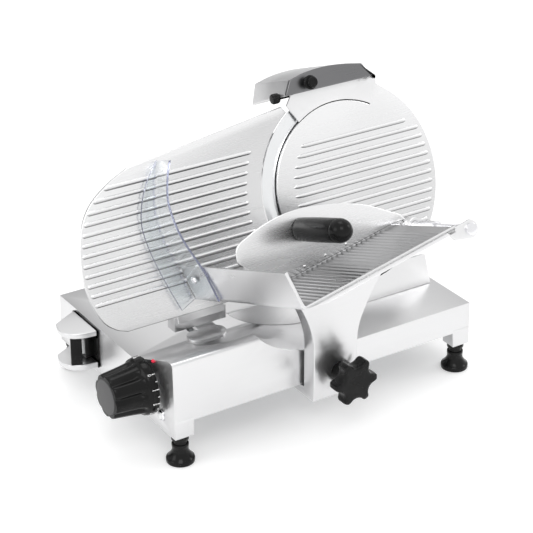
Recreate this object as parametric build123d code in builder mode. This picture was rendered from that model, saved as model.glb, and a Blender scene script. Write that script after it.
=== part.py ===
"""Gravity-feed deli slicer with a 250 mm blade, built as separate pieces in millimetres, +Z up.

Lengths along the machine are x from the operator-end face, y runs from the front apron towards
the slice side, and z is up from the table.  Pieces on the leaning blade plane are drawn in its own
frame: x as before, v up the plane, n out of it towards the product.
"""
from build123d import *
import os
from math import sin, cos, radians, sqrt

os.makedirs("parts", exist_ok=True)

# ---------------------------------------------------------------- driving dimensions
left = -202.85          # x of the operator-end face, so that the whole machine is centred
front = -86.5          # y of the front apron

base_length = 436.0
base_depth = 292.0
wall = 5.0
leg_z = 37.0           # underside of the corner legs
skirt_z = 57.0         # lower edge of the long walls between the legs
deck_z = 102.0
low_deck_z = 94.0      # deck along the carriage side, under the blade
ridge_z = 137.0        # raised rail at the operator's end of the apron
ridge_width = 15.0
slope_foot = 98.0      # where the slope behind the rail meets the deck
ridge_end = 118.0

lean = 21.0            # blade plane leans this far back from upright, in degrees
plane_y = 79.4
plane_z = 113.8
blade_radius = 125.0
blade_x = 331.7
blade_v = 132.7
cover_radius = 105.5
ring_radius = 134.0
ring_bore = 127.0

rod_y = 24.0           # carriage guide rod under the apron
rod_z = 70.0
rod_radius = 7.0
bar_y = 44.0
bar_z = 59.5

tray_x = 91.0          # foot of the tray's end flange
tray_v = 47.5
tray_tilt = 10.5       # rise of the tray floor away from the operator
flange_lean = 17.5
tray_near = 246.0      # n of the tray's outer edge
tray_gap = 4.0         # n of the edge next to the blade
tray_width = 216.0
tray_sheet = 2.5
rod_x_tray = 328.0     # pusher rod
rod_v_tray = 80.0
pusher_n = 120.0

arm_left = 178.0
arm_width = 63.0
arm_back = -4.0
arm_front = -26.0

knob_y = 58.0
knob_z = 86.5
fit = 0.05             # radial clearance of shafts in their bores


# ---------------------------------------------------------------- frames to draw in
lean_sin = sin(radians(lean))
lean_cos = cos(radians(lean))
plane_normal = (0.0, -lean_cos, lean_sin)


def floor_at(z):
    """Horizontal plane at height z, drawn in x and y."""
    return Plane(origin=(left, front, z))


def side_at(x):
    """Upright plane across the machine, drawn in y and z, growing away from the operator."""
    return Plane(origin=(left + x, front, 0), x_dir=(0, 1, 0), z_dir=(1, 0, 0))


def face_at(y):
    """Upright plane along the machine, drawn in x and z, growing towards the product side."""
    return Plane(origin=(left, front + y, 0), x_dir=(1, 0, 0), z_dir=(0, -1, 0))


def blade_at(n, x=0.0, v=0.0):
    """Plane parallel to the blade, n towards the product, drawn from the point (x, v)."""
    origin = (
        left + x,
        front + plane_y + v * lean_sin - n * lean_cos,
        plane_z + v * lean_cos + n * lean_sin,
    )
    return Plane(origin=origin, x_dir=(1, 0, 0), z_dir=plane_normal)


def across_at(x, v=0.0):
    """Plane square to the machine's length, drawn in v and n, growing along x."""
    start = blade_at(0, x, v)
    return Plane(origin=start.origin, x_dir=(0, lean_sin, lean_cos), z_dir=(1, 0, 0))


def finish(piece, name):
    """Label a finished piece and write it as its own file."""
    piece.part.label = name
    export_step(piece.part, f"parts/{name}.step")


def scoop_outline():
    """Closed outline, in x and z, of what is above the scooped carriage-side deck."""
    with BuildSketch(face_at(0)) as outline:
        with BuildLine():
            curve = Spline(
                (ridge_end - 1, ridge_z + 1),
                (136, 121.5),
                (165, 107.5),
                (200, 98.5),
                (262, low_deck_z),
                tangents=[(1, -1.1), (1, 0)],
            )
            Polyline(
                curve @ 1,
                (base_length + 60, low_deck_z),
                (base_length + 60, 420),
                (ridge_end - 1, 420),
                curve @ 0,
            )
        make_face()
    return outline.sketch


# ---------------------------------------------------------------- base casting
leg_x = 25.0
leg_y = 22.0
post_top = 61.0
scoop_back = 104.0
trough_radius = 40.0
trough_y = 60.0
trough_x = 95.0
slot_x = 98.0          # gauge support slot through the deck
gauge_rod_z = 79.0
lamp_y = 31.4
lamp_z = 56.0
switch_y = 215.0
switch_z = 72.5
gland_x = 70.0
gland_z = 78.0
foot_places = [
    (sx, sy)
    for sx in (12.5, base_length - 12.5)
    for sy in (11.0, base_depth - 11.0)
]

with BuildPart() as base_casting:
    with BuildSketch(side_at(0)) as body_section:
        with BuildLine():
            Polyline(
                (0, leg_z),
                (3, ridge_z),
                (ridge_width, ridge_z),
                (slope_foot, deck_z),
                (base_depth - 3, deck_z),
                (base_depth, leg_z),
                (0, leg_z),
            )
        make_face()
        corners = body_section.vertices().sort_by(Axis.Z)
        fillet(corners[-1], 4)
        fillet(body_section.vertices().sort_by(Axis.Z)[-1:], 9)
    extrude(amount=base_length)
    add(extrude(scoop_outline(), amount=-scoop_back), mode=Mode.SUBTRACT)
    with BuildSketch(side_at(trough_x)):
        with Locations((trough_y, ridge_z + 5)):
            Circle(trough_radius)
    extrude(amount=110, mode=Mode.SUBTRACT)
    with Locations((left + trough_x, front + trough_y, ridge_z + 5)):
        Sphere(trough_radius, mode=Mode.SUBTRACT)
    # long walls are cut away between the legs
    with BuildSketch(face_at(base_depth + 1)):
        with BuildLine():
            Polyline(
                (leg_x, leg_z - 1),
                (leg_x + 1, skirt_z),
                (base_length - leg_x - 1, skirt_z),
                (base_length - leg_x, leg_z - 1),
                (leg_x, leg_z - 1),
            )
        make_face()
    extrude(amount=base_depth + 2, mode=Mode.SUBTRACT)
    # hollow underside: under the rail, under the gauge support, then the low deck
    with BuildSketch(side_at(wall)):
        with BuildLine():
            Polyline(
                (wall + 1, leg_z - 1),
                (wall + 3, ridge_z - wall),
                (ridge_width - 2, ridge_z - wall),
                (slope_foot - 2, deck_z - wall),
                (base_depth - wall - 3, deck_z - wall),
                (base_depth - wall - 1, leg_z - 1),
                (wall + 1, leg_z - 1),
            )
        make_face()
    extrude(amount=50 - wall, mode=Mode.SUBTRACT)
    for low_start, low_stop, ceiling in ((50, 112, 94.0), (112, base_length - wall, low_deck_z - wall)):
        with BuildSketch(side_at(low_start)):
            with BuildLine():
                Polyline(
                    (wall + 1, leg_z - 1),
                    (wall + 2.5, ceiling),
                    (scoop_back + 2, ceiling),
                    (scoop_back + 2, deck_z - wall),
                    (base_depth - wall - 3, deck_z - wall),
                    (base_depth - wall - 1, leg_z - 1),
                    (wall + 1, leg_z - 1),
                )
            make_face()
        extrude(amount=low_stop - low_start, mode=Mode.SUBTRACT)
    # corner posts that take the levelling feet
    for px, py in foot_places:
        with BuildSketch(floor_at(leg_z)):
            with Locations((px, py)):
                Rectangle(leg_x, leg_y - 1.2)
        extrude(amount=post_top - leg_z)
    for px, py in foot_places:
        with BuildSketch(floor_at(leg_z)):
            with Locations((px, py)):
                Circle(4 + fit)
        extrude(amount=18, mode=Mode.SUBTRACT)
    # bosses for the carriage rod in both end walls
    with BuildSketch(side_at(wall)):
        with Locations((rod_y, rod_z)):
            Circle(11)
    extrude(amount=8)
    with BuildSketch(side_at(base_length - wall - 8)):
        with Locations((rod_y, rod_z)):
            Circle(11)
    extrude(amount=8)
    with BuildSketch(side_at(2)):
        with Locations((rod_y, rod_z)):
            Circle(rod_radius + fit)
    extrude(amount=base_length - 4, mode=Mode.SUBTRACT)
    # lugs under the deck for the gauge's cross rod
    for lug_y, lug_top in ((50, 95), (150, deck_z - wall + 1)):
        with BuildSketch(floor_at(lug_top)):
            with Locations((slot_x, lug_y)):
                Rectangle(16, 6)
        extrude(amount=gauge_rod_z - 7 - lug_top)
    with BuildSketch(face_at(158)):
        with Locations((slot_x, gauge_rod_z)):
            Circle(5 + fit)
    extrude(amount=112, mode=Mode.SUBTRACT)
    # lug that carries the operator's end of the flat guide bar
    with BuildSketch(side_at(86)):
        with Locations((28, bar_z + 4)):
            Rectangle(45, 12)
        with Locations((bar_y + 3, bar_z + 4)):
            Rectangle(6.1, 8.1, mode=Mode.SUBTRACT)
        with Locations((rod_y, rod_z)):
            Circle(rod_radius + 1, mode=Mode.SUBTRACT)
    extrude(amount=4)
    # slot for the gauge support
    with BuildSketch(floor_at(80)):
        with Locations((slot_x, 112)):
            SlotOverall(36, 18, rotation=90)
    extrude(amount=40, mode=Mode.SUBTRACT)
    # openings in the operator-end wall: spindle, lamp, switch
    with BuildSketch(side_at(-1)):
        with Locations((knob_y, knob_z)):
            Circle(6 + fit)
        with Locations((lamp_y, lamp_z)):
            Circle(5.2)
        with Locations((switch_y, switch_z)):
            Rectangle(26, 30)
    extrude(amount=wall + 2, mode=Mode.SUBTRACT)
    # cable entry in the rear wall
    with BuildSketch(face_at(base_depth + 1)):
        with Locations((gland_x, gland_z)):
            Circle(8)
    extrude(amount=12, mode=Mode.SUBTRACT)
finish(base_casting, "base_casting")

with BuildPart() as base_plate:
    with BuildSketch(floor_at(skirt_z + 1)):
        with Locations((base_length / 2, 166)):
            RectangleRounded(base_length - 14, 200, 4)
        with Locations((10, switch_y)):
            Rectangle(50, 38, mode=Mode.SUBTRACT)
    extrude(amount=1.5)
    with BuildSketch(floor_at(skirt_z + 1)):
        with Locations((base_length / 2, 166)):
            with GridLocations(30, 40, 5, 3):
                SlotOverall(22, 4)
    extrude(amount=1.5, mode=Mode.SUBTRACT)
finish(base_plate, "base_plate")

# ---------------------------------------------------------------- feet
for number, (px, py) in enumerate(foot_places, start=1):
    with BuildPart() as foot:
        with BuildSketch(Plane(origin=(left + px, front + py, 0), x_dir=(1, 0, 0), z_dir=(0, -1, 0))):
            with BuildLine():
                Polyline((0, 0), (16.5, 0), (17.5, 1.5), (17.5, 6))
                Spline((17.5, 6), (12, 11.5), (8.2, 17), tangents=[(-1, 0.5), (0, 1)])
                Polyline((8.2, 17), (8.2, 22), (9.2, 23), (9.2, 26), (7.5, 28), (7.5, 31))
                Polyline((7.5, 31), (10.5, 31), (10.5, leg_z - 0.1), (4.1, leg_z - 0.1))
                Polyline((4.1, leg_z - 0.1), (4.1, 20), (0, 20), (0, 0))
            make_face()
        revolve(axis=Axis((left + px, front + py, 0), (0, 0, 1)))
    finish(foot, f"foot_{number}")

with BuildPart() as foot_studs:
    for px, py in foot_places:
        with BuildSketch(floor_at(20.2)):
            with Locations((px, py)):
                Circle(4)
        extrude(amount=33)
finish(foot_studs, "foot_studs")

# ---------------------------------------------------------------- blade housing
housing_left = 116.5
housing_right = 427.0
housing_top = 18.0
pan_front = -20.0
pan_back = -25.0
hub_radius = 27.0

with BuildPart() as blade_housing:
    # front wall on the deck, with the blade's round opening
    with BuildSketch(blade_at(-9)):
        with Locations(((housing_left + housing_right) / 2, (housing_top - 40) / 2)):
            Rectangle(housing_right - housing_left, housing_top + 40)
        with Locations((blade_x, blade_v)):
            Circle(ring_radius)
        with Locations((blade_x - 200, 200)):
            Rectangle(400, 400 - 2 * housing_top - 0.01, mode=Mode.SUBTRACT)
        with Locations((blade_x, blade_v)):
            Circle(ring_bore, mode=Mode.SUBTRACT)
    extrude(amount=8.5)
    # pan behind the blade, smaller where the slice falls
    with BuildSketch(blade_at(pan_back)):
        with Locations((blade_x, blade_v)):
            Circle(ring_radius)
        with Locations((blade_x - 200, blade_v)):
            Rectangle(400, 400, mode=Mode.SUBTRACT)
        with Locations((blade_x, blade_v)):
            Circle(108)
        with Locations((330, -10)):
            Rectangle(194, 60)
    extrude(amount=pan_front - pan_back)
    # rim that joins the pan and the front ring on the covered side
    with BuildSketch(blade_at(pan_front)):
        with Locations((blade_x, blade_v)):
            Circle(ring_radius)
            Circle(ring_bore, mode=Mode.SUBTRACT)
        with Locations((blade_x - 200, blade_v)):
            Rectangle(400, 400, mode=Mode.SUBTRACT)
    extrude(amount=12)
    # floor web under the blade joins wall and pan
    with BuildSketch(blade_at(pan_front)):
        with Locations(((housing_left + housing_right) / 2 + 45, -12)):
            Rectangle(210, 30)
        with Locations((blade_x, blade_v)):
            Circle(ring_bore, mode=Mode.SUBTRACT)
    extrude(amount=12)
    # bearing boss
    with BuildSketch(blade_at(pan_back)):
        with Locations((blade_x, blade_v)):
            Circle(hub_radius)
    extrude(amount=-6)
    with BuildSketch(blade_at(pan_front)):
        with Locations((blade_x, blade_v)):
            Circle(17.5)
    extrude(amount=-12, mode=Mode.SUBTRACT)
    # notch for the sharpener's base
    with BuildSketch(blade_at(-40)):
        with Locations((blade_x + 2, 275)):
            Rectangle(132, 48)
    extrude(amount=45, mode=Mode.SUBTRACT)
    # trimmed to the scooped deck, with a hair of clearance
    above_deck = extrude(scoop_outline().moved(Location((0, 0, 0.15))), amount=-200, mode=Mode.PRIVATE)
    add(above_deck, mode=Mode.INTERSECT)
finish(blade_housing, "blade_housing")

# ---------------------------------------------------------------- blade and its drive
pulley_radius = 38.0
motor_pulley_radius = 12.5
motor_x = 382.0
motor_v = 84.0

with BuildPart() as blade:
    with BuildSketch(Plane(origin=blade_at(0, blade_x, blade_v).origin, x_dir=(1, 0, 0),
                           z_dir=(0, -lean_sin, -lean_cos))):
        with BuildLine():
            Polyline(
                (9, -17),
                (cover_radius - 20, -17),
                (cover_radius + 2, -9),
                (cover_radius + 6, -5.5),
                (blade_radius, -2.0),
                (blade_radius, -1.6),
                (cover_radius + 6, -2.2),
                (cover_radius + 1, -6),
                (cover_radius - 22, -14),
                (9, -14),
                (9, -17),
            )
        make_face()
    revolve(axis=Axis(blade_at(0, blade_x, blade_v).origin, plane_normal))
    with BuildSketch(blade_at(-18)):
        with Locations((blade_x, blade_v)):
            with PolarLocations(17, 3):
                Circle(2.6)
    extrude(amount=6, mode=Mode.SUBTRACT)
finish(blade, "blade")

with BuildPart() as blade_flange:
    with BuildSketch(blade_at(-19.5)):
        with Locations((blade_x, blade_v)):
            Circle(24)
            Circle(7.5, mode=Mode.SUBTRACT)
    extrude(amount=2.45)
    with BuildSketch(blade_at(-19.5)):
        with Locations((blade_x, blade_v)):
            Circle(8.9)
            Circle(7.5, mode=Mode.SUBTRACT)
    extrude(amount=5.4)
finish(blade_flange, "blade_flange")

with BuildPart() as blade_screws:
    for turn in (90, 210, 330):
        sx = blade_x + 17 * cos(radians(turn - 90))
        sv = blade_v + 17 * sin(radians(turn - 90))
        with BuildSketch(blade_at(-14)):
            with Locations((sx, sv)):
                Circle(4.5)
        extrude(amount=2.2)
        with BuildSketch(blade_at(-16.9)):
            with Locations((sx, sv)):
                Circle(2.5)
        extrude(amount=2.9)
finish(blade_screws, "blade_screws")

with BuildPart() as blade_shaft:
    with BuildSketch(blade_at(-58)):
        with Locations((blade_x, blade_v)):
            Circle(7.5)
    extrude(amount=48)
finish(blade_shaft, "blade_shaft")

with BuildPart() as blade_bearings:
    for start in (-31, -25):
        with BuildSketch(blade_at(start)):
            with Locations((blade_x, blade_v)):
                Circle(17.5)
                Circle(7.5 + fit, mode=Mode.SUBTRACT)
        extrude(amount=5)
finish(blade_bearings, "blade_bearings")

with BuildPart() as blade_pulley:
    with BuildSketch(blade_at(-52)):
        with Locations((blade_x, blade_v)):
            Circle(pulley_radius + 2)
            Circle(7.5, mode=Mode.SUBTRACT)
    extrude(amount=16)
    with BuildSketch(blade_at(-50)):
        with Locations((blade_x, blade_v)):
            Circle(pulley_radius + 3)
            Circle(pulley_radius, mode=Mode.SUBTRACT)
    extrude(amount=12, mode=Mode.SUBTRACT)
    with BuildSketch(blade_at(-52)):
        with Locations((blade_x, blade_v)):
            with PolarLocations(24, 6):
                Circle(7)
    extrude(amount=16, mode=Mode.SUBTRACT)
finish(blade_pulley, "blade_pulley")

with BuildPart() as motor_pulley:
    with BuildSketch(blade_at(-52)):
        with Locations((motor_x, motor_v)):
            Circle(motor_pulley_radius + 2)
            Circle(6, mode=Mode.SUBTRACT)
    extrude(amount=16)
    with BuildSketch(blade_at(-50)):
        with Locations((motor_x, motor_v)):
            Circle(motor_pulley_radius + 3)
            Circle(motor_pulley_radius, mode=Mode.SUBTRACT)
    extrude(amount=12, mode=Mode.SUBTRACT)
finish(motor_pulley, "motor_pulley")

with BuildPart() as drive_belt:
    with BuildSketch(blade_at(-49)):
        with BuildLine():
            run = Vector(motor_x - blade_x, motor_v - blade_v)
            span = run.length
            turn = (pulley_radius - motor_pulley_radius) / span
            ahead = run.normalized()
            beside = Vector(-ahead.Y, ahead.X)
            rise = sqrt(1 - turn * turn)
            for side in (1, -1):
                away = ahead * turn + beside * (side * rise)
                big = Vector(blade_x, blade_v) + away * (pulley_radius + 2.0)
                small = Vector(motor_x, motor_v) + away * (motor_pulley_radius + 2.0)
                Line((big.X, big.Y), (small.X, small.Y))
                if side == 1:
                    upper_big = big
                    upper_small = small
            far_big = Vector(blade_x, blade_v) - ahead * (pulley_radius + 2.0)
            far_small = Vector(motor_x, motor_v) + ahead * (motor_pulley_radius + 2.0)
            ThreePointArc((upper_big.X, upper_big.Y), (far_big.X, far_big.Y), (big.X, big.Y))
            ThreePointArc((upper_small.X, upper_small.Y), (far_small.X, far_small.Y), (small.X, small.Y))
        make_face()
        offset(amount=-1.7, mode=Mode.SUBTRACT)
    extrude(amount=10)
finish(drive_belt, "drive_belt")

with BuildPart() as motor_shaft:
    with BuildSketch(blade_at(-146)):
        with Locations((motor_x, motor_v)):
            Circle(6)
    extrude(amount=108)
finish(motor_shaft, "motor_shaft")

with BuildPart() as motor_body:
    with BuildSketch(blade_at(-130)):
        with Locations((motor_x, motor_v)):
            Circle(34)
            with PolarLocations(34, 24):
                Rectangle(6, 2.4)
            Circle(6.4, mode=Mode.SUBTRACT)
    extrude(amount=74)
finish(motor_body, "motor_body")

with BuildPart() as motor_fan:
    with BuildSketch(blade_at(-143)):
        with Locations((motor_x, motor_v)):
            Circle(10)
            with PolarLocations(18, 8):
                Rectangle(20, 2)
            Circle(6, mode=Mode.SUBTRACT)
    extrude(amount=10)
finish(motor_fan, "motor_fan")

with BuildPart() as motor_cover:
    with BuildSketch(blade_at(-152)):
        with Locations((352, 92)):
            RectangleRounded(148, 172, 34)
    extrude(amount=121)
    fillet(motor_cover.faces().sort_by(Axis.Y)[-1].edges(), 6)
    with BuildSketch(blade_at(-149)):
        with Locations((352, 92)):
            RectangleRounded(142, 166, 31)
    extrude(amount=130, mode=Mode.SUBTRACT)
    with BuildSketch(floor_at(deck_z + 0.15)):
        with Locations((300, 200)):
            Rectangle(700, 700)
    extrude(amount=300, mode=Mode.INTERSECT)
    with BuildSketch(blade_at(-155)):
        with Locations((motor_x - 6, motor_v + 20)):
            with GridLocations(9, 1, 7, 1):
                SlotOverall(40, 4, rotation=90)
    extrude(amount=8, mode=Mode.SUBTRACT)
finish(motor_cover, "motor_cover")

# ---------------------------------------------------------------- blade cover and deflector
rib_pitch = 11.9
rib_half = 2.6


def cover_outline_at(n):
    """Centre disc that widens to the ring's edge on the side away from the operator."""
    with BuildSketch(blade_at(n)) as outline:
        with BuildLine():
            Polyline(
                (blade_x, blade_v),
                (blade_x + 200 * cos(radians(60)), blade_v + 200 * sin(radians(60))),
                (blade_x + 220, blade_v),
                (blade_x + 200 * cos(radians(-52)), blade_v + 200 * sin(radians(-52))),
                (blade_x, blade_v),
            )
        make_face()
        with Locations((blade_x, blade_v)):
            Circle(ring_radius, mode=Mode.INTERSECT)
            Circle(cover_radius)
    return outline.sketch


with BuildPart() as blade_cover:
    add(extrude(cover_outline_at(0.3), amount=2.4, mode=Mode.PRIVATE))
    with BuildSketch(blade_at(-5)):
        with Locations((blade_x, blade_v)):
            Circle(cover_radius)
            Circle(cover_radius - 3, mode=Mode.SUBTRACT)
    extrude(amount=5.5)
    with BuildSketch(blade_at(-9)):
        with Locations((blade_x, blade_v)):
            Circle(16)
    extrude(amount=10)
    rib_v = [blade_v + 61 - rib_pitch * row for row in range(13)]
    for v in rib_v:
        reach = sqrt(ring_radius**2 - (v - blade_v) ** 2)
        inner = sqrt(cover_radius**2 - (v - blade_v) ** 2)
        rib_start = blade_x - inner + 26
        rib_stop = blade_x + reach - 9
        with BuildSketch(blade_at(2.4)):
            with Locations(((rib_start + rib_stop) / 2, v)):
                SlotOverall(rib_stop - rib_start, 2 * rib_half)
        extrude(amount=1.4, taper=30)
finish(blade_cover, "blade_cover")

with BuildPart() as cover_tie_rod:
    with BuildSketch(blade_at(-10)):
        with Locations((blade_x, blade_v)):
            Circle(4)
    extrude(amount=0.9)
finish(cover_tie_rod, "cover_tie_screw")

with BuildPart() as slice_deflector:
    with BuildSketch(across_at(236)):
        with BuildLine():
            Polyline(
                (48, -37),
                (196, -37),
                (214, -44),
                (214, -45.6),
                (195.6, -38.6),
                (48, -38.6),
                (40, -46),
                (38.9, -44.9),
                (48, -37),
            )
        make_face()
    extrude(amount=38)
finish(slice_deflector, "slice_deflector")

# ---------------------------------------------------------------- sharpener on top
sharp_front = 14.0
sharp_back = -74.0
grind_x = 291.0
grind_v = 270.0
debur_x = 345.0
debur_v = 270.6
push_travel = 6.0
clamp_v = 258.0
clamp_n = -8.0


def sharpener_outline(n, inset=0.0):
    """Crowned box seen along the blade's axis, drawn at depth n and shrunk by inset."""
    with BuildSketch(blade_at(n)) as outline:
        with BuildLine():
            crown = Spline(
                (268 + inset, 277.5 - inset),
                (319, 284.5 - inset),
                (376 - inset, 278 - inset),
                tangents=[(1, 0.32), (1, -0.3)],
            )
            Polyline(
                crown @ 1,
                (391 - inset, 256),
                (392 - inset, 248 - 2 * inset),
                (258 + inset, 248 - 2 * inset),
                crown @ 0,
            )
        make_face()
    return outline.sketch


with BuildPart() as sharpener_cover:
    add(extrude(sharpener_outline(sharp_back), amount=sharp_front - sharp_back, mode=Mode.PRIVATE))
    # open underneath, cut higher towards the front
    with BuildSketch(across_at(230)):
        with BuildLine():
            Polyline(
                (240, sharp_front + 5),
                (259.5, sharp_front + 5),
                (259.5, sharp_front - 3),
                (251, sharp_back - 5),
                (240, sharp_back - 5),
                (240, sharp_front + 5),
            )
        make_face()
    extrude(amount=200, mode=Mode.SUBTRACT)
    hollow = extrude(
        sharpener_outline(sharp_back + 2.5, 2.5),
        amount=sharp_front - sharp_back - 5,
        mode=Mode.PRIVATE,
    )
    add(hollow, mode=Mode.SUBTRACT)
    with BuildSketch(blade_at(sharp_front - 4)):
        with Locations((grind_x, grind_v)):
            Circle(3 + fit)
    extrude(amount=6, mode=Mode.SUBTRACT)
    with BuildSketch(blade_at(sharp_back - 1)):
        with Locations((debur_x, debur_v)):
            Circle(3 + fit)
    extrude(amount=6, mode=Mode.SUBTRACT)
    with BuildSketch(across_at(256)):
        with Locations((clamp_v - 2, clamp_n)):
            SlotOverall(9.1, 5.1)
    extrude(amount=14, mode=Mode.SUBTRACT)
finish(sharpener_cover, "sharpener_cover")

with BuildPart() as sharpener_base:
    # lower skirt in front of the blade's edge
    with BuildSketch(blade_at(0.6)):
        with BuildLine():
            Polyline(
                (blade_x + 53.5, blade_v + 92.7),
                (blade_x + 67.5, blade_v + 117),
                (blade_x + 67.5, 258.3),
                (blade_x - 60, 258.3),
                (blade_x - 69, blade_v + 114),
                (blade_x - 55.5, blade_v + 91),
                (blade_x + 53.5, blade_v + 92.7),
            )
        make_face()
        with Locations((blade_x, blade_v)):
            Circle(cover_radius + 1.2, mode=Mode.SUBTRACT)
    extrude(amount=2.4)
    # top shelf and the bracket behind the pan
    with BuildSketch(blade_at(-35)):
        with Locations((blade_x - 4, 259.4)):
            Rectangle(104, 2.3)
    extrude(amount=38)
    with BuildSketch(blade_at(-35)):
        with Locations((blade_x, 234.7)):
            Rectangle(70, 51.6)
    extrude(amount=9.8)
    with BuildSketch(blade_at(-34)):
        with Locations((blade_x - 7, 256.5)):
            Rectangle(115, 3)
    extrude(amount=-36)
finish(sharpener_base, "sharpener_base")


def stone(n, x, v):
    """Small abrasive wheel, 9 mm in radius, on a spindle of 3 mm radius."""
    with BuildPart() as wheel:
        with BuildSketch(blade_at(n)):
            with Locations((x, v)):
                Circle(9)
                Circle(3 + fit, mode=Mode.SUBTRACT)
        extrude(amount=6)
        chamfer(wheel.faces().sort_by(Axis.Y)[-1].edges().sort_by(SortBy.LENGTH)[-1], 1.2)
    return wheel


def plunger(knob_n, stone_n, x, v, outward):
    """Push knob in two steps on its spindle, with a collar each side of the wheel."""
    with BuildPart() as rod:
        with BuildSketch(blade_at(knob_n)):
            with Locations((x, v)):
                Circle(8.8)
        extrude(amount=4 * outward)
        with BuildSketch(blade_at(knob_n + 4 * outward)):
            with Locations((x, v)):
                Circle(6.6)
        extrude(amount=5.5 * outward)
        chamfer(rod.faces().sort_by(Axis.Y)[0 if outward > 0 else -1].edges(), 0.8)
        with BuildSketch(blade_at(knob_n)):
            with Locations((x, v)):
                Circle(3)
        extrude(amount=(stone_n - 2 - knob_n) if outward > 0 else (stone_n + 8 - knob_n))
        for collar_n in (stone_n - 1.6, stone_n + 6.3):
            with BuildSketch(blade_at(collar_n)):
                with Locations((x, v)):
                    Circle(4.6)
            extrude(amount=1.3)
    return rod


grinding_stone = stone(3, grind_x, grind_v)
finish(grinding_stone, "grinding_stone")
grinding_plunger = plunger(sharp_front + push_travel + 0.5, 3, grind_x, grind_v, 1)
finish(grinding_plunger, "grinding_plunger")
deburring_stone = stone(-26, debur_x, debur_v)
finish(deburring_stone, "deburring_stone")
deburring_plunger = plunger(sharp_back - push_travel - 0.5, -26, debur_x, debur_v, -1)
finish(deburring_plunger, "deburring_plunger")

with BuildPart() as sharpener_knob:
    with BuildSketch(across_at(250)):
        with Locations((clamp_v, clamp_n)):
            Circle(6.5)
            with PolarLocations(7.4, 8):
                Circle(1.6, mode=Mode.SUBTRACT)
    extrude(amount=10)
    with BuildSketch(across_at(260)):
        with Locations((clamp_v, clamp_n)):
            Circle(2.5)
    extrude(amount=15)
finish(sharpener_knob, "sharpener_knob")

# ---------------------------------------------------------------- gauge plate and its slide
gauge_bottom = 31.5
gauge_bore = 126.5
gauge_face = -1.0
rib_rise = 1.4
rib_stop_radius = 146.0
first_rib = 202.4


def gauge_outline(n):
    """Rounded at the operator's end, straight top and bottom, hollowed round the blade."""
    bore_drop = sqrt(gauge_bore**2 - (blade_v - gauge_bottom) ** 2)
    with BuildSketch(blade_at(n)) as outline:
        with BuildLine():
            low_end = (blade_x - bore_drop, gauge_bottom)
            high_end = (
                blade_x + gauge_bore * cos(radians(123)),
                blade_v + gauge_bore * sin(radians(123)),
            )
            Line((-8, gauge_bottom), low_end)
            ThreePointArc(low_end, (blade_x - gauge_bore, blade_v), high_end)
            Polyline(high_end, (257.5, 247.2), (34, 219.9))
            Spline(
                (34, 219.9),
                (-24, 186.5),
                (-50, 113),
                (-36, 50.5),
                (-8, gauge_bottom),
                tangents=[(-1, -0.2), (1, -0.15)],
            )
        make_face()
    return outline.sketch


with BuildPart() as gauge_plate:
    add(extrude(gauge_outline(gauge_face - 5), amount=5, mode=Mode.PRIVATE))
    for row in range(12):
        rib_at = first_rib - rib_pitch * row
        rib_right = blade_x - sqrt(rib_stop_radius**2 - (rib_at - blade_v) ** 2)
        with BuildSketch(blade_at(gauge_face)):
            with Locations(((rib_right - 80) / 2, rib_at)):
                SlotOverall(rib_right + 80, 2 * rib_half)
        extrude(amount=rib_rise, taper=30)
    add(extrude(gauge_outline(gauge_face - 6), amount=20, mode=Mode.PRIVATE), mode=Mode.INTERSECT)
finish(gauge_plate, "gauge_plate")

with BuildPart() as gauge_bracket:
    with BuildSketch(blade_at(gauge_face - 11)):
        with Locations((94, 62)):
            Rectangle(64, 80)
    extrude(amount=5.9)
    with BuildSketch(floor_at(119.4)):
        with Locations((94, 105.5)):
            Rectangle(72, 17)
    extrude(amount=18)
    with BuildSketch(floor_at(115)):
        with Locations((89.9, 76)):
            SlotOverall(51.8, 26)
        with Locations((98, 95)):
            Rectangle(24, 28)
    extrude(amount=4.5)
    with BuildSketch(floor_at(92.1)):
        with Locations((slot_x, 104.5)):
            Rectangle(14, 9)
    extrude(amount=24)
finish(gauge_bracket, "gauge_bracket")

with BuildPart() as gauge_slide:
    with BuildSketch(side_at(slot_x - 8)):
        with Locations((86, 81)):
            Rectangle(48, 22)
    extrude(amount=16)
    with BuildSketch(face_at(112)):
        with Locations((slot_x, gauge_rod_z)):
            Circle(5 + fit)
    extrude(amount=60, mode=Mode.SUBTRACT)
    with BuildSketch(side_at(30.2)):
        with Locations((knob_y + 5.2, knob_z)):
            Circle(2)
    extrude(amount=slot_x - 8 - 30.2)
finish(gauge_slide, "gauge_slide")

with BuildPart() as gauge_rod:
    with BuildSketch(face_at(154)):
        with Locations((slot_x, gauge_rod_z)):
            Circle(5)
    extrude(amount=108)
finish(gauge_rod, "gauge_rod")

# ---------------------------------------------------------------- thickness knob
skirt_radius = 36.0
knob_near = -6.0
knob_tip = -60.0

with BuildPart() as thickness_knob:
    with BuildSketch(Plane(origin=(left, front + knob_y, knob_z), x_dir=(-1, 0, 0), z_dir=(0, 1, 0))):
        with BuildLine():
            Polyline(
                (-knob_near, 6.2),
                (-knob_near, skirt_radius - 1),
                (-knob_near + 1, skirt_radius),
                (-knob_near + 11, skirt_radius - 1.5),
                (-knob_near + 13, 32),
                (-knob_tip - 3, 27.5),
                (-knob_tip - 1, 25.5),
                (-knob_tip - 1, 22.2),
                (-knob_tip - 3, 22.2),
                (-knob_tip - 3, 6.2),
                (-knob_near, 6.2),
            )
        make_face()
    revolve(axis=Axis((left, front + knob_y, knob_z), (1, 0, 0)))
    with BuildSketch(side_at(knob_tip - 2)):
        with Locations((knob_y, knob_z)):
            with PolarLocations(38.5, 8, start_angle=12):
                Circle(11.5)
    extrude(amount=38, mode=Mode.SUBTRACT)
finish(thickness_knob, "thickness_knob")

with BuildPart() as knob_cap:
    with BuildSketch(side_at(knob_tip)):
        with Locations((knob_y, knob_z)):
            Circle(22.1)
    extrude(amount=2.9)
finish(knob_cap, "knob_cap")

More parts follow.
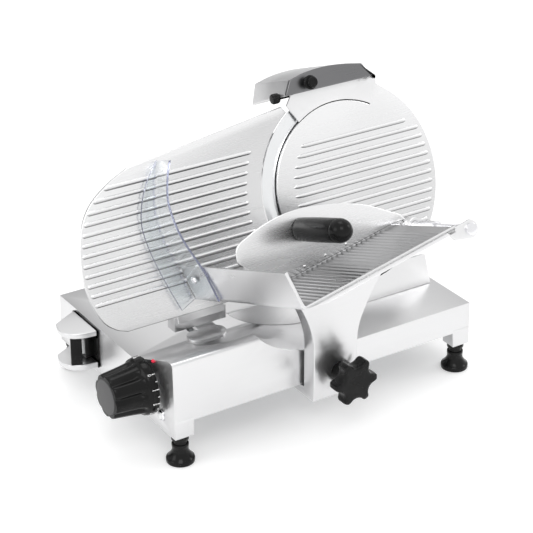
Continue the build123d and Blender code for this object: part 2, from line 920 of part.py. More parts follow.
with BuildPart() as knob_spindle:
    with BuildSketch(side_at(knob_tip + 4)):
        with Locations((knob_y, knob_z)):
            Circle(6)
    extrude(amount=-knob_tip - 4 + 26)
    with BuildSketch(side_at(26)):
        with Locations((knob_y, knob_z)):
            Circle(24)
    extrude(amount=6)
    with BuildSketch(side_at(29.6)):
        with Locations((knob_y, knob_z)):
            Circle(22.5)
            Circle(2.8, mode=Mode.SUBTRACT)
    extrude(amount=3, mode=Mode.SUBTRACT)
finish(knob_spindle, "knob_spindle")

with BuildPart() as index_mark:
    with BuildSketch(side_at(-3)):
        with Locations((47, 122.5)):
            Circle(2.1)
    extrude(amount=2.9)
finish(index_mark, "index_mark")

with BuildPart() as lamp_bezel:
    with BuildSketch(side_at(-1.6)):
        with Locations((lamp_y, lamp_z)):
            Circle(7.5)
            Circle(4.6, mode=Mode.SUBTRACT)
    extrude(amount=1.5)
    with BuildSketch(side_at(-0.1)):
        with Locations((lamp_y, lamp_z)):
            Circle(5.1)
            Circle(4.6, mode=Mode.SUBTRACT)
    extrude(amount=wall)
finish(lamp_bezel, "lamp_bezel")

with BuildPart() as pilot_lamp:
    with BuildSketch(side_at(-2)):
        with Locations((lamp_y, lamp_z)):
            Circle(4.5)
    extrude(amount=wall + 1)
    with BuildSketch(side_at(-2)):
        with Locations((lamp_y, lamp_z)):
            Circle(4.5)
    extrude(amount=-2.4, taper=35)
finish(pilot_lamp, "pilot_lamp")

# ---------------------------------------------------------------- switch and its guard
guard_low = 46.0
guard_high = 98.0

with BuildPart() as switch_guard:
    for level, thick in ((guard_low, 8), (guard_high - 7, 7)):
        with BuildSketch(floor_at(level)) as fan:
            with BuildLine():
                Polyline((-0.1, 186), (-0.1, 250), (-36, 231))
                ThreePointArc((-36, 231), (-35, 198), (-0.1, 186))
            make_face()
            fillet(fan.vertices().sort_by(Axis.X)[0], 6)
        extrude(amount=thick)
    with BuildSketch(side_at(-2.6)):
        with Locations((218, (guard_low + guard_high) / 2)):
            Rectangle(64, guard_high - guard_low)
        with Locations((switch_y, switch_z)):
            Rectangle(26.2, 30.2, mode=Mode.SUBTRACT)
    extrude(amount=2.5)
finish(switch_guard, "switch_guard")

with BuildPart() as switch_body:
    with BuildSketch(side_at(-12)):
        with Locations((switch_y, switch_z)):
            RectangleRounded(34, 34, 3)
    extrude(amount=9.3)
    with BuildSketch(side_at(-2.7)):
        with Locations((switch_y, switch_z)):
            Rectangle(25.8, 29.8)
    extrude(amount=28)
    with BuildSketch(side_at(-13)):
        with Locations((switch_y - 7, switch_z)):
            Rectangle(13.6, 22.6)
        with Locations((switch_y + 9, switch_z - 1)):
            Circle(6.8)
    extrude(amount=7, mode=Mode.SUBTRACT)
finish(switch_body, "switch_body")

with BuildPart() as start_button:
    with BuildSketch(side_at(-15)):
        with Locations((switch_y - 7, switch_z)):
            RectangleRounded(13, 22, 1.5)
    extrude(amount=5)
finish(start_button, "start_button")

with BuildPart() as stop_button:
    with BuildSketch(side_at(-18)):
        with Locations((switch_y + 9, switch_z - 1)):
            Circle(6.5)
    extrude(amount=8)
finish(stop_button, "stop_button")

# ---------------------------------------------------------------- electrical pieces in the base
with BuildPart() as cable_gland:
    with BuildSketch(face_at(base_depth + 0.1)):
        with Locations((gland_x, gland_z)):
            RegularPolygon(12, 6)
            Circle(4, mode=Mode.SUBTRACT)
    extrude(amount=-6)
    with BuildSketch(face_at(base_depth + 6)):
        with Locations((gland_x, gland_z)):
            Circle(9)
            Circle(4, mode=Mode.SUBTRACT)
    extrude(amount=-9, taper=12)
    with BuildSketch(face_at(base_depth + 0.2)):
        with Locations((gland_x, gland_z)):
            Circle(7.9)
            Circle(4, mode=Mode.SUBTRACT)
    extrude(amount=16)
finish(cable_gland, "cable_gland")

with BuildPart() as control_board:
    with BuildSketch(floor_at(62)):
        with Locations((200, 190)):
            Rectangle(90, 60)
    extrude(amount=1.6)
    with BuildSketch(floor_at(63.6)):
        with Locations((180, 180)):
            Rectangle(16, 20)
        with Locations((220, 200)):
            Circle(11)
        with Locations((190, 210)):
            Rectangle(40, 9)
    extrude(amount=16)
    with BuildSketch(floor_at(59.6)):
        with Locations((200, 190)):
            with GridLocations(80, 50, 2, 2):
                Circle(3)
    extrude(amount=2.4)
finish(control_board, "control_board")

# ---------------------------------------------------------------- carriage under the apron
with BuildPart() as guide_rod:
    with BuildSketch(side_at(2)):
        with Locations((rod_y, rod_z)):
            Circle(rod_radius)
    extrude(amount=base_length - 4)
finish(guide_rod, "guide_rod")

with BuildPart() as guide_bar:
    with BuildSketch(side_at(86)):
        with Locations((bar_y + 3, bar_z + 4)):
            Rectangle(6, 8)
    extrude(amount=base_length - wall - 86)
finish(guide_bar, "guide_bar")

foot_top = 55.5
with BuildPart() as carriage_slider:
    with BuildSketch(side_at(arm_left + 1)):
        with Locations((rod_y + 0.5, 70.5)):
            Rectangle(28, 29.6)
        with Locations((46, 73.4)):
            Rectangle(16, 6)
        with Locations((rod_y, rod_z)):
            Circle(10, mode=Mode.SUBTRACT)
    extrude(amount=arm_width - 2)
finish(carriage_slider, "carriage_slider")

with BuildPart() as slider_bushes:
    for start in (arm_left + 2, arm_left + arm_width - 22):
        with BuildSketch(side_at(start)):
            with Locations((rod_y, rod_z)):
                Circle(10)
                Circle(rod_radius + fit, mode=Mode.SUBTRACT)
        extrude(amount=20)
finish(slider_bushes, "slider_bushes")

with BuildPart() as guide_shoe:
    with BuildSketch(side_at(arm_left + 16)):
        with Locations((47, 64.2)):
            Rectangle(13, 12)
        with Locations((47, bar_z + 4 - 3)):
            Rectangle(6.5, 15, mode=Mode.SUBTRACT)
    extrude(amount=30)
finish(guide_shoe, "guide_shoe")

# ---------------------------------------------------------------- carriage arm and star knob
tilt_sin = sin(radians(tray_tilt))
tilt_cos = cos(radians(tray_tilt))
along_floor = (tilt_cos, tilt_sin * lean_sin, tilt_sin * lean_cos)
floor_normal = (-tilt_sin, tilt_cos * lean_sin, tilt_cos * lean_cos)


def tray_floor_at(height):
    """Plane on the tray floor; drawn in s along it and in -n, towards the blade."""
    start = blade_at(0, tray_x, tray_v).origin
    shift = Vector(floor_normal) * height
    return Plane(origin=start + shift, x_dir=along_floor, z_dir=floor_normal)


star_x = 217.0
star_z = 76.0

with BuildPart() as carriage_arm:
    with BuildSketch(face_at(arm_back)):
        with BuildLine():
            Line((arm_left, 44.5), (arm_left + arm_width, 44.5))
            Line((arm_left + arm_width, 44.5), (arm_left + arm_width, 112))
            Spline(
                (arm_left + arm_width, 112),
                (249, 148),
                (290, 216),
                tangents=[(0, 1), (0.55, 0.8)],
            )
            Polyline((290, 216), (290, 260), (140, 260), (140, 206))
            Spline((140, 206), (168, 158), (arm_left, 112), tangents=[(0.6, -0.8), (0, -1)])
            Line((arm_left, 112), (arm_left, 44.5))
        make_face()
    extrude(amount=arm_back - arm_front)
    with BuildSketch(floor_at(44.5)):
        with Locations((arm_left + arm_width / 2, (arm_front + 38) / 2)):
            Rectangle(arm_width, 38 - arm_front)
    extrude(amount=foot_top - 44.5)
    with BuildSketch(tray_floor_at(-tray_sheet - 0.1)):
        with Locations((100, -100)):
            Rectangle(900, 900)
    extrude(amount=200, mode=Mode.SUBTRACT)
    with BuildSketch(face_at(arm_back)):
        with Locations((star_x, star_z)):
            Circle(5 + fit)
    extrude(amount=40, mode=Mode.SUBTRACT)
finish(carriage_arm, "carriage_arm")

with BuildPart() as star_knob:
    with BuildSketch(face_at(arm_front - 1)):
        with Locations((star_x, star_z)):
            Circle(14)
    extrude(amount=20, taper=-6)
    with BuildSketch(face_at(arm_front - 18)) as star:
        with Locations((star_x, star_z)):
            Circle(30)
            with PolarLocations(34.5, 6, start_angle=30):
                Circle(13.2, mode=Mode.SUBTRACT)
        fillet(star.vertices(), 2.5)
    extrude(amount=18)
    chamfer(star_knob.faces().sort_by(Axis.Y)[0].edges(), 1.5)
    with BuildSketch(face_at(arm_back - 1)):
        with Locations((star_x, star_z)):
            Circle(5)
    extrude(amount=30)
finish(star_knob, "star_knob")

# ---------------------------------------------------------------- tray
flange_height = 46.8
floor_run = tray_width / tilt_cos

with BuildPart() as tray:
    with BuildSketch(blade_at(tray_gap)):
        with BuildLine():
            corner = (tray_x, tray_v)
            flange_top = (
                tray_x - flange_height * sin(radians(flange_lean)),
                tray_v + flange_height * cos(radians(flange_lean)),
            )
            floor_end = (tray_x + floor_run * tilt_cos, tray_v + floor_run * tilt_sin)
            Polyline(
                (corner[0] - 2.5, corner[1] - 2.2),
                flange_top,
                (flange_top[0] + 2.6, flange_top[1] + 0.6),
                (corner[0] + 1.0, corner[1] + 0.2),
                floor_end,
                (floor_end[0] + 0.5, floor_end[1] - 2.5),
                (corner[0] - 2.5, corner[1] - 2.2),
            )
        make_face()
    extrude(amount=tray_near - tray_gap)
    # stiffening lip turned down along the outer edge
    with BuildSketch(blade_at(tray_near - 2.5)):
        with BuildLine():
            Polyline(
                (tray_x, tray_v - 1),
                floor_end,
                (floor_end[0], floor_end[1] - 7),
                (tray_x + 30, tray_v - 1.5),
                (tray_x, tray_v - 1),
            )
        make_face()
    extrude(amount=2.5)
    # tabs that carry the pusher rod
    for tab_n in (tray_gap + 4, tray_near - 3):
        with BuildSketch(blade_at(tab_n)):
            with BuildLine():
                Polyline(
                    (floor_end[0] - 14, floor_end[1] - 3.2),
                    (floor_end[0] - 1, floor_end[1] - 0.5),
                    (rod_x_tray, rod_v_tray + 11),
                    (rod_x_tray, rod_v_tray - 11),
                    (floor_end[0] - 2, floor_end[1] - 16),
                    (floor_end[0] - 14, floor_end[1] - 3.2),
                )
            make_face()
            with Locations((rod_x_tray, rod_v_tray)):
                Circle(11)
                Circle(5, mode=Mode.SUBTRACT)
        extrude(amount=3)
finish(tray, "tray")

# ---------------------------------------------------------------- pusher
with BuildPart() as pusher_rod:
    with BuildSketch(blade_at(tray_gap + 1)):
        with Locations((rod_x_tray, rod_v_tray)):
            Circle(5)
    extrude(amount=tray_near - tray_gap)
    for nut_n in (tray_near + 0.1, tray_gap):
        with BuildSketch(blade_at(nut_n)):
            with Locations((rod_x_tray, rod_v_tray)):
                Circle(7.5)
        extrude(amount=3.9)
finish(pusher_rod, "pusher_rod")

with BuildPart() as pusher_sleeve:
    with BuildSketch(blade_at(pusher_n - 2)):
        with Locations((rod_x_tray, rod_v_tray)):
            Circle(8.5)
            Circle(5 + fit, mode=Mode.SUBTRACT)
    extrude(amount=62)
finish(pusher_sleeve, "pusher_sleeve")

plate_left = 93.5
plate_lift = 2.0
plate_slope = tilt_sin / tilt_cos
with BuildPart() as pusher_plate:
    with BuildSketch(blade_at(pusher_n)):
        with BuildLine():
            Line(
                (plate_left, tray_v + plate_lift + (plate_left - tray_x) * plate_slope),
                (308, tray_v + plate_lift + (308 - tray_x) * plate_slope),
            )
            Polyline(
                (308, tray_v + plate_lift + (308 - tray_x) * plate_slope),
                (322, rod_v_tray + 10),
                (326, rod_v_tray + 9.9),
            )
            Spline(
                (326, rod_v_tray + 9.9),
                (303, 106),
                (240, 130),
                (180, 137.5),
                (125, 129),
                (96, 117),
                tangents=[(-0.7, 0.6), (-1, -0.5)],
            )
            Spline((96, 117), (88, 111), (88, 94), tangents=[(-1, -0.5), (0, -1)])
            Polyline(
                (88, 94),
                (plate_left, 90),
                (plate_left, tray_v + plate_lift + (plate_left - tray_x) * plate_slope),
            )
        make_face()
    extrude(amount=2.5)
    with BuildSketch(blade_at(pusher_n)):
        with Locations((rod_x_tray, rod_v_tray)):
            Circle(12)
            Circle(8.5 + 2 * fit, mode=Mode.SUBTRACT)
    extrude(amount=18)
finish(pusher_plate, "pusher_plate")

handle_x = 180.0
handle_v = 113.0
with BuildPart() as pusher_handle:
    with BuildSketch(blade_at(pusher_n + 2.6)):
        with Locations((handle_x, handle_v)):
            Circle(14.5)
    extrude(amount=98)
    fillet(pusher_handle.faces().sort_by(Axis.Y)[0].edges(), 10)
finish(pusher_handle, "pusher_handle")

# ---------------------------------------------------------------- hand guard
guard_sheet = 3.0
with BuildPart() as hand_guard:
    with BuildSketch(blade_at(3)):
        with BuildLine():
            Spline((64, 38.7), (44.5, 95), (35, 152), (42, 178), (71.5, 221))
            Line((71.5, 221), (78.5, 220))
            Spline((78.5, 220), (63, 173.5), (63.7, 140.5), (75.4, 92.8), (87.2, 48.2))
            Line((87.2, 48.2), (64, 38.7))
        make_face()
    extrude(amount=guard_sheet)
    with BuildSketch(blade_at(3)):
        with BuildLine():
            Spline((78.5, 220), (63, 173.5), (63.7, 140.5), (73.2, 97), (86.9, 48.2))
            Line((86.9, 48.2), (84, 47.2))
            Spline((84, 47.2), (70.2, 96), (60.7, 140.5), (60, 173.5), (75.5, 221))
            Line((75.5, 221), (78.5, 220))
        make_face()
    extrude(amount=60)
    # near edge sweeps in towards the top
    with BuildSketch(across_at(20)):
        with BuildLine():
            Spline((40, 63), (81, 61), (107, 54), (139, 41), (176, 31), (225, 30))
            Polyline((225, 30), (225, 80), (40, 80), (40, 63))
        make_face()
    extrude(amount=100, mode=Mode.SUBTRACT)
finish(hand_guard, "hand_guard")

with BuildPart() as guard_screw:
    with BuildSketch(across_at(66, 75)):
        with Locations((-6, 36)):
            Circle(4)
    extrude(amount=6)
finish(guard_screw, "guard_screw")
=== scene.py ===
from math import cos, pi, radians, sin

import bpy
import numpy as np
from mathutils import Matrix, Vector


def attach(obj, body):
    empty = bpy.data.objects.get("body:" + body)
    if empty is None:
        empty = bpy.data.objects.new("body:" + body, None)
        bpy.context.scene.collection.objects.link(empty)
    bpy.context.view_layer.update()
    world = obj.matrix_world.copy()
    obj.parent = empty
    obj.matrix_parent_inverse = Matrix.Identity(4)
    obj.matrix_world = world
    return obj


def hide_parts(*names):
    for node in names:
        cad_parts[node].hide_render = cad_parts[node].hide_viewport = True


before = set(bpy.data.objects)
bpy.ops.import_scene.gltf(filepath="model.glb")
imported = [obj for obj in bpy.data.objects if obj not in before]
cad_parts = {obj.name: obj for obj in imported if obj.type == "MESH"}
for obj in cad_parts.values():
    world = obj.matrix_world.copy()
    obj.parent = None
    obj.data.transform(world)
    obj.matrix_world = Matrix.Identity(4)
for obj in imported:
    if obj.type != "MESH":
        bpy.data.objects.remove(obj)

bl_info = {
    "name": "Deli Slicer",
    "version": (1, 0, 0),
    "blender": (4, 5, 0),
    "location": "View3D > Sidebar > Slicer",
    "description": "Dresses the packed deli slicer with detailed surfaces and finishes",
    "category": "Object",
}

# ---------------------------------------------------------------- the machine's own frame
LEFT = -0.20285  # x of the operator-end face
FRONT = -0.0865  # y of the apron
SLOPE_Y = 0.0794  # where the blade plane's slope starts, behind the apron
SLOPE_Z = 0.1138  # and above the table
LEAN = radians(21)  # the blade plane's lean from upright
UP = np.array([0.0, sin(LEAN), cos(LEAN)])
OUT = np.array([0.0, -cos(LEAN), sin(LEAN)])
ORIGIN = np.array([LEFT, FRONT + SLOPE_Y, SLOPE_Z])
BLADE = (0.3317, 0.1327)  # the blade's centre, as x and v
TRAY_TILT = radians(10.5)  # the tray floor's rise along x
FLANGE_LEAN = radians(17.5)  # the tray flange's lean from square
CORNER = (0.091, 0.0475)  # where floor and flange meet, as x and v
GRIP = (0.180, 0.113)  # the pusher handle's axis, as x and v
GRIP_SCALE = 0.88  # the handle's radius over its turned profile
STAR = (0.217, 0.076)  # the star knob's axis, as x and z
PUSHER_ROD = (0.328, 0.080)  # the pusher rod's axis, as x and v


def lean(x, v, n):
    """Points of the leaning blade plane's frame in the row frame: x along the machine, v up the slope, n off it."""
    x, v, n = np.broadcast_arrays(np.asarray(x, float), np.asarray(v, float), np.asarray(n, float))
    return (
        ORIGIN
        + x[..., None] * np.array([1.0, 0.0, 0.0])
        + v[..., None] * UP
        + n[..., None] * OUT
    )


def plain(x, y, z):
    """Points measured from the operator-end face, the apron and the table, in the row frame."""
    x, y, z = np.broadcast_arrays(np.asarray(x, float), np.asarray(y, float), np.asarray(z, float))
    return np.stack([x + LEFT, y + FRONT, z], axis=-1)


# ---------------------------------------------------------------- surfaces
def grid(points, wrap_u=False, wrap_v=False, caps=True):
    """Vertices and quads of a two-parameter grid of points, closed round u or v, with flat ends if asked."""
    nu, nv = points.shape[:2]
    verts = points.reshape(-1, 3)
    us = np.arange(nu if wrap_u else nu - 1)
    vs = np.arange(nv if wrap_v else nv - 1)
    u, v = [a.ravel() for a in np.meshgrid(us, vs, indexing="ij")]
    u2, v2 = (u + 1) % nu, (v + 1) % nv
    faces = np.stack([u * nv + v, u2 * nv + v, u2 * nv + v2, u * nv + v2], axis=1).tolist()
    if caps and wrap_v and not wrap_u:
        faces.append(list(range(nv)))
        faces.append([(nu - 1) * nv + k for k in range(nv)][::-1])
    if caps and wrap_u and not wrap_v:
        faces.append([k * nv for k in range(nu)][::-1])
        faces.append([k * nv + nv - 1 for k in range(nu)])
    return verts, faces


def volume(verts, faces):
    """Signed volume of a closed shell, by fans of tetrahedra from the origin."""
    total = 0.0
    centre = verts.mean(axis=0)
    v = verts - centre
    for f in faces:
        a = v[f[0]]
        for i in range(1, len(f) - 1):
            total += np.dot(a, np.cross(v[f[i]], v[f[i + 1]]))
    return total / 6


def outward(shell):
    """The shell with its faces turned to look outward."""
    verts, faces = shell
    if volume(verts, faces) < 0:
        faces = [list(reversed(f)) for f in faces]
    return verts, faces


def inset_outline(outline, amount):
    """A closed outline moved inward by amount along its corner bisectors."""
    before = np.roll(outline, 1, axis=0)
    after = np.roll(outline, -1, axis=0)
    d1 = outline - before
    d2 = after - outline
    d1 /= np.linalg.norm(d1, axis=1)[:, None] + 1e-12
    d2 /= np.linalg.norm(d2, axis=1)[:, None] + 1e-12
    n1 = np.stack([-d1[:, 1], d1[:, 0]], axis=1)
    n2 = np.stack([-d2[:, 1], d2[:, 0]], axis=1)
    bis = n1 + n2
    bis /= np.linalg.norm(bis, axis=1)[:, None] + 1e-12
    scale = np.clip(1 / np.maximum((bis * n1).sum(1), 0.3), 1, 2.2)
    return outline + bis * (amount * scale)[:, None]


def ccw(outline):
    """The outline running anticlockwise."""
    a = np.asarray(outline, float)
    b = np.roll(a, -1, axis=0)
    area = (a[:, 0] * b[:, 1] - b[:, 0] * a[:, 1]).sum()
    return a if area > 0 else a[::-1].copy()


def slab(outline, place, low, high, edge=0.0006, steps=3):
    """A plate: the outline swept from low to high through place(a, b, c), with quarter-round edges."""
    outline = ccw(outline)
    rows = []
    for k in range(steps + 1):
        t = 0.5 * pi * k / steps
        rows.append((edge * (1 - sin(t)), low + edge * (1 - cos(t))))
    rows += [(i, low + high - c) for i, c in reversed(rows)]
    rings = []
    for inset, c in rows:
        ring = inset_outline(outline, inset)
        rings.append(place(ring[:, 0], ring[:, 1], np.full(len(ring), c)))
    return outward(grid(np.stack(rings), wrap_v=True))


def lathe(profile, centre, axis, segments=96, start=None):
    """A closed turned piece: (radius, height) pairs swung about an axis through centre."""
    axis = np.asarray(axis, float) / np.linalg.norm(axis)
    side = np.array([1.0, 0, 0]) if abs(axis[0]) < 0.9 else np.array([0, 0, 1.0])
    if start is not None:
        side = np.asarray(start, float)
    side = side - axis * side.dot(axis)
    side /= np.linalg.norm(side)
    other = np.cross(axis, side)
    turn = np.linspace(0, 2 * pi, segments, endpoint=False)
    ring = np.cos(turn)[:, None] * side + np.sin(turn)[:, None] * other
    p = np.asarray(profile, float)
    pts = centre + p[:, 0][:, None, None] * ring[None] + p[:, 1][:, None, None] * axis
    return outward(grid(pts, wrap_v=True))


def tube(path, radius, segments=24, taper=None):
    """A round rod of the given radius along a path of points, closed at both ends."""
    path = np.asarray(path, float)
    tangent = np.gradient(path, axis=0)
    tangent /= np.linalg.norm(tangent, axis=1)[:, None]
    ref = np.array([0.0, 0.0, 1.0])
    if abs(tangent[0].dot(ref)) > 0.9:
        ref = np.array([1.0, 0.0, 0.0])
    side = np.cross(tangent, ref)
    side /= np.linalg.norm(side, axis=1)[:, None]
    other = np.cross(tangent, side)
    turn = np.linspace(0, 2 * pi, segments, endpoint=False)
    radii = np.full(len(path), radius) if taper is None else radius * np.asarray(taper)
    pts = path[:, None] + radii[:, None, None] * (
        np.cos(turn)[None, :, None] * side[:, None] + np.sin(turn)[None, :, None] * other[:, None]
    )
    return outward(grid(pts, wrap_v=True))


def spline(points, count, closed=False):
    """Catmull-Rom curve through the points, resampled to count points."""
    p = np.asarray(points, float)
    if closed:
        p = np.vstack([p[-1], p, p[0], p[1]])
    else:
        p = np.vstack([2 * p[0] - p[1], p, 2 * p[-1] - p[-2]])
    spans = len(p) - 3
    t = np.linspace(0, spans, count, endpoint=not closed)
    i = np.minimum(t.astype(int), spans - 1)
    f = (t - i)[:, None]
    a, b, c, d = p[i], p[i + 1], p[i + 2], p[i + 3]
    return 0.5 * (2 * b + (c - a) * f + (2 * a - 5 * b + 4 * c - d) * f**2 + (3 * b - a - 3 * c + d) * f**3)


def even(points, step, closed=False):
    """The polyline resampled at about equal steps, keeping every corner."""
    p = [np.asarray(q, float) for q in points]
    if closed:
        p.append(p[0])
    out = []
    for a, b in zip(p[:-1], p[1:]):
        count = max(1, int(round(np.linalg.norm(b - a) / step)))
        for k in range(count):
            out.append(a + (b - a) * k / count)
    if not closed:
        out.append(p[-1])
    return np.array(out)


def rounded(points, radii, steps=6):
    """A closed polygon with each corner replaced by an arc of its own radius."""
    p = np.asarray(points, float)
    out = []
    for i, here in enumerate(p):
        radius = radii[i] if hasattr(radii, "__len__") else radii
        a, b = p[i - 1] - here, p[(i + 1) % len(p)] - here
        la, lb = np.linalg.norm(a), np.linalg.norm(b)
        a, b = a / la, b / lb
        half = np.arccos(np.clip(a.dot(b), -1, 1)) / 2
        cut = min(radius / np.tan(half), 0.45 * la, 0.45 * lb) if radius else 0
        if cut <= 0:
            out.append(here)
            continue
        p0, p2 = here + a * cut, here + b * cut
        for t in np.linspace(0, 1, steps):
            out.append((1 - t) ** 2 * p0 + 2 * t * (1 - t) * here + t**2 * p2)
    return np.array(out)


def piece(name, shells, material, body, hides=(), smooth=35):
    """One finished object from closed shells, riding on a body and standing for the CAD nodes it hides."""
    verts, faces, groups, first = [], [], [], 0
    for shell in shells:
        v, f = shell[0], shell[1]
        verts.append(v)
        faces += [[i + first for i in face] for face in f]
        groups += [shell[2] if len(shell) > 2 else 0] * len(f)
        first += len(v)
    mesh = bpy.data.meshes.new(name)
    mesh.from_pydata(np.vstack(verts).tolist(), [], faces)
    mesh.polygons.foreach_set("material_index", np.array(groups, dtype=np.int32))
    mesh.validate()
    mesh.shade_smooth()
    mesh.set_sharp_from_angle(angle=radians(smooth))
    for m in material if isinstance(material, (list, tuple)) else [material]:
        mesh.materials.append(m)
    mesh.update()
    obj = bpy.data.objects.new(name, mesh)
    bpy.context.scene.collection.objects.link(obj)
    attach(obj, body)
    if hides:
        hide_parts(*hides)
    return obj


# ---------------------------------------------------------------- finishes
class Finish:
    """Small helper that lays out a material's node tree."""

    def __init__(self, name):
        self.mat = bpy.data.materials.new(name)
        self.mat.use_nodes = True
        self.tree = self.mat.node_tree
        self.shader = self.tree.nodes["Principled BSDF"]
        self.coord = self.tree.nodes.new("ShaderNodeTexCoord").outputs["Object"]

    def node(self, kind, **inputs):
        """A node with its inputs linked or set; underscores stand for spaces."""
        n = self.tree.nodes.new(kind)
        for key, value in inputs.items():
            name = key.replace("_", " ")
            if hasattr(value, "is_linked"):
                self.tree.links.new(value, n.inputs[name])
            else:
                n.inputs[name].default_value = value
        return n

    def noise(self, scale, detail=2.0, stretch=(1, 1, 1), rough=0.5, turn=(0, 0, 0), source=None):
        """Noise on object coordinates, stretched and turned."""
        m = self.node("ShaderNodeMapping", Vector=source or self.coord, Scale=stretch, Rotation=turn)
        n = self.node("ShaderNodeTexNoise", Vector=m.outputs[0], Scale=scale, Detail=detail, Roughness=rough)
        return n.outputs["Fac"]

    def ramp(self, value, low, high, start=0.3, stop=0.7):
        """A value mapped from start..stop to low..high."""
        n = self.node("ShaderNodeMapRange", Value=value)
        n.inputs["From Min"].default_value = start
        n.inputs["From Max"].default_value = stop
        n.inputs["To Min"].default_value = low
        n.inputs["To Max"].default_value = high
        return n.outputs[0]

    def mix(self, fac, a, b):
        """Two colours mixed by a factor."""
        n = self.tree.nodes.new("ShaderNodeMix")
        n.data_type = "RGBA"
        self.put(n.inputs[0], fac)
        self.put(n.inputs[6], a)
        self.put(n.inputs[7], b)
        return n.outputs[2]

    def put(self, socket, value):
        """Links a socket to the input, or sets its value."""
        if hasattr(value, "is_linked"):
            self.tree.links.new(value, socket)
        else:
            socket.default_value = value

    def math(self, op, a, b=0.0):
        """One arithmetic step."""
        n = self.tree.nodes.new("ShaderNodeMath")
        n.operation = op
        self.put(n.inputs[0], a)
        self.put(n.inputs[1], b)
        return n.outputs[0]

    def bump(self, height, strength, distance=0.0002, under=None):
        """A normal raised by a height."""
        n = self.node("ShaderNodeBump", Height=height, Strength=strength, Distance=distance)
        if under is not None:
            self.tree.links.new(under, n.inputs["Normal"])
        return n.outputs[0]

    def set(self, **sockets):
        """Sets or links the shader's own sockets."""
        for key, value in sockets.items():
            self.put(self.shader.inputs[key.replace("_", " ")], value)
        return self


def rgba(c, k=1.0):
    """A colour scaled by k, with full alpha."""
    return (c[0] * k, c[1] * k, c[2] * k, 1.0)


def brushed(name, colour, rough=0.3, along=(3, 500, 500), strength=0.12, spread=0.1, shade=0.08, under=None):
    """Metal brushed along one axis, with faint blotches of handling.

    under is a direction, a tone and two limits: where the surface faces away from that direction the
    colour is darkened towards the tone, a painted shade under rolled ribs and on one side of ridges.
    """
    f = Finish(name)
    streak = f.noise(1.0, 3.0, along, 0.6)
    blotch = f.noise(9.0, 3.0)
    grain = f.noise(900.0, 1.0)
    rough_streak = f.ramp(streak, rough - spread * 0.5, rough + spread * 0.5)
    tint = f.mix(f.ramp(blotch, 0.0, 1.0), rgba(colour, 1 - shade), rgba(colour))
    tint = f.mix(f.ramp(streak, 0.0, 0.5), tint, rgba(colour, 1 - 0.7 * shade))
    # painted shade: the colour darkens where the normal turns away from the under direction
    if under is not None:
        shade_facing = f.tree.nodes.new("ShaderNodeVectorMath")
        shade_facing.operation = "DOT_PRODUCT"
        f.put(shade_facing.inputs[0], f.tree.nodes["Texture Coordinate"].outputs["Normal"])
        shade_facing.inputs[1].default_value = tuple(under[0])
        tint = f.mix(f.ramp(shade_facing.outputs["Value"], 0.0, 1.0, under[2], under[3]), rgba(colour, under[1]),
            tint)
    height = f.math("ADD", f.math("MULTIPLY", streak, 0.7), f.math("MULTIPLY", grain, 0.3))
    f.set(
        Base_Color=tint,
        Metallic=1.0,
        Roughness=f.math("ADD", rough_streak, f.ramp(blotch, -0.03, 0.03)),
        Normal=f.bump(height, strength, 0.00012),
    )
    return f.mat


def ringed(name, colour, rough, centre, strength=0.1):
    """Metal ground on a spindle, so its marks run in rings about the blade's axis."""
    f = Finish(name)
    shift = f.tree.nodes.new("ShaderNodeVectorMath")
    shift.operation = "SUBTRACT"
    f.put(shift.inputs[0], f.coord)
    shift.inputs[1].default_value = tuple(centre)
    parts = []
    for axis in ((1, 0, 0), tuple(UP)):
        dot = f.tree.nodes.new("ShaderNodeVectorMath")
        dot.operation = "DOT_PRODUCT"
        f.tree.links.new(shift.outputs[0], dot.inputs[0])
        dot.inputs[1].default_value = axis
        parts.append(dot.outputs["Value"])
    square = f.math("ADD", f.math("MULTIPLY", parts[0], parts[0]), f.math("MULTIPLY", parts[1], parts[1]))
    radius = f.math("SQRT", square)
    line = f.node("ShaderNodeCombineXYZ", X=f.math("MULTIPLY", radius, 1500.0), Y=0.0, Z=0.0)
    rings = f.noise(1.0, 2.0, source=line.outputs[0])
    blotch = f.noise(14.0, 2.0)
    f.set(
        Base_Color=f.mix(f.ramp(blotch, 0, 1), rgba(colour, 0.92), rgba(colour)),
        Metallic=1.0,
        Roughness=f.math("ADD", f.ramp(rings, rough - 0.04, rough + 0.06), f.ramp(blotch, -0.02, 0.03)),
        Normal=f.bump(rings, strength, 0.0001),
    )
    return f.mat


def moulded(name, colour, rough=0.25, grain=0.04, scale=700.0, coat=0.0, gloss=0.5):
    """Plastic or rubber with a faint moulded grain, dust and rubbed patches."""
    f = Finish(name)
    dust = f.noise(24.0, 4.0)
    fine = f.noise(scale, 2.0)
    f.set(
        Base_Color=f.mix(f.ramp(dust, 0, 1, 0.45, 0.75), rgba(colour),
            rgba([c * 1.15 + 0.006 for c in colour])),
        Roughness=f.math("ADD", f.ramp(dust, rough - 0.05, rough + 0.08), f.ramp(fine, -0.02, 0.02)),
        Normal=f.bump(fine, grain, 0.00015),
        Coat_Weight=coat,
        Specular_IOR_Level=gloss,
    )
    return f.mat


def clear(name, colour, rough=0.03, transmission=1.0, weight=None):
    """Clear sheet with faint smears on its surface."""
    f = Finish(name)
    smear = f.noise(30.0, 4.0, (1, 1, 0.3))
    f.set(
        Base_Color=f.mix(f.ramp(smear, 0, 1), rgba(colour, 0.97), rgba(colour)),
        Roughness=f.ramp(smear, rough, rough + 0.05),
        Transmission_Weight=transmission,
        IOR=1.45,
        Normal=f.bump(smear, 0.02, 0.0002),
    )
    if weight is not None:
        f.set(Alpha=weight)
    return f.mat


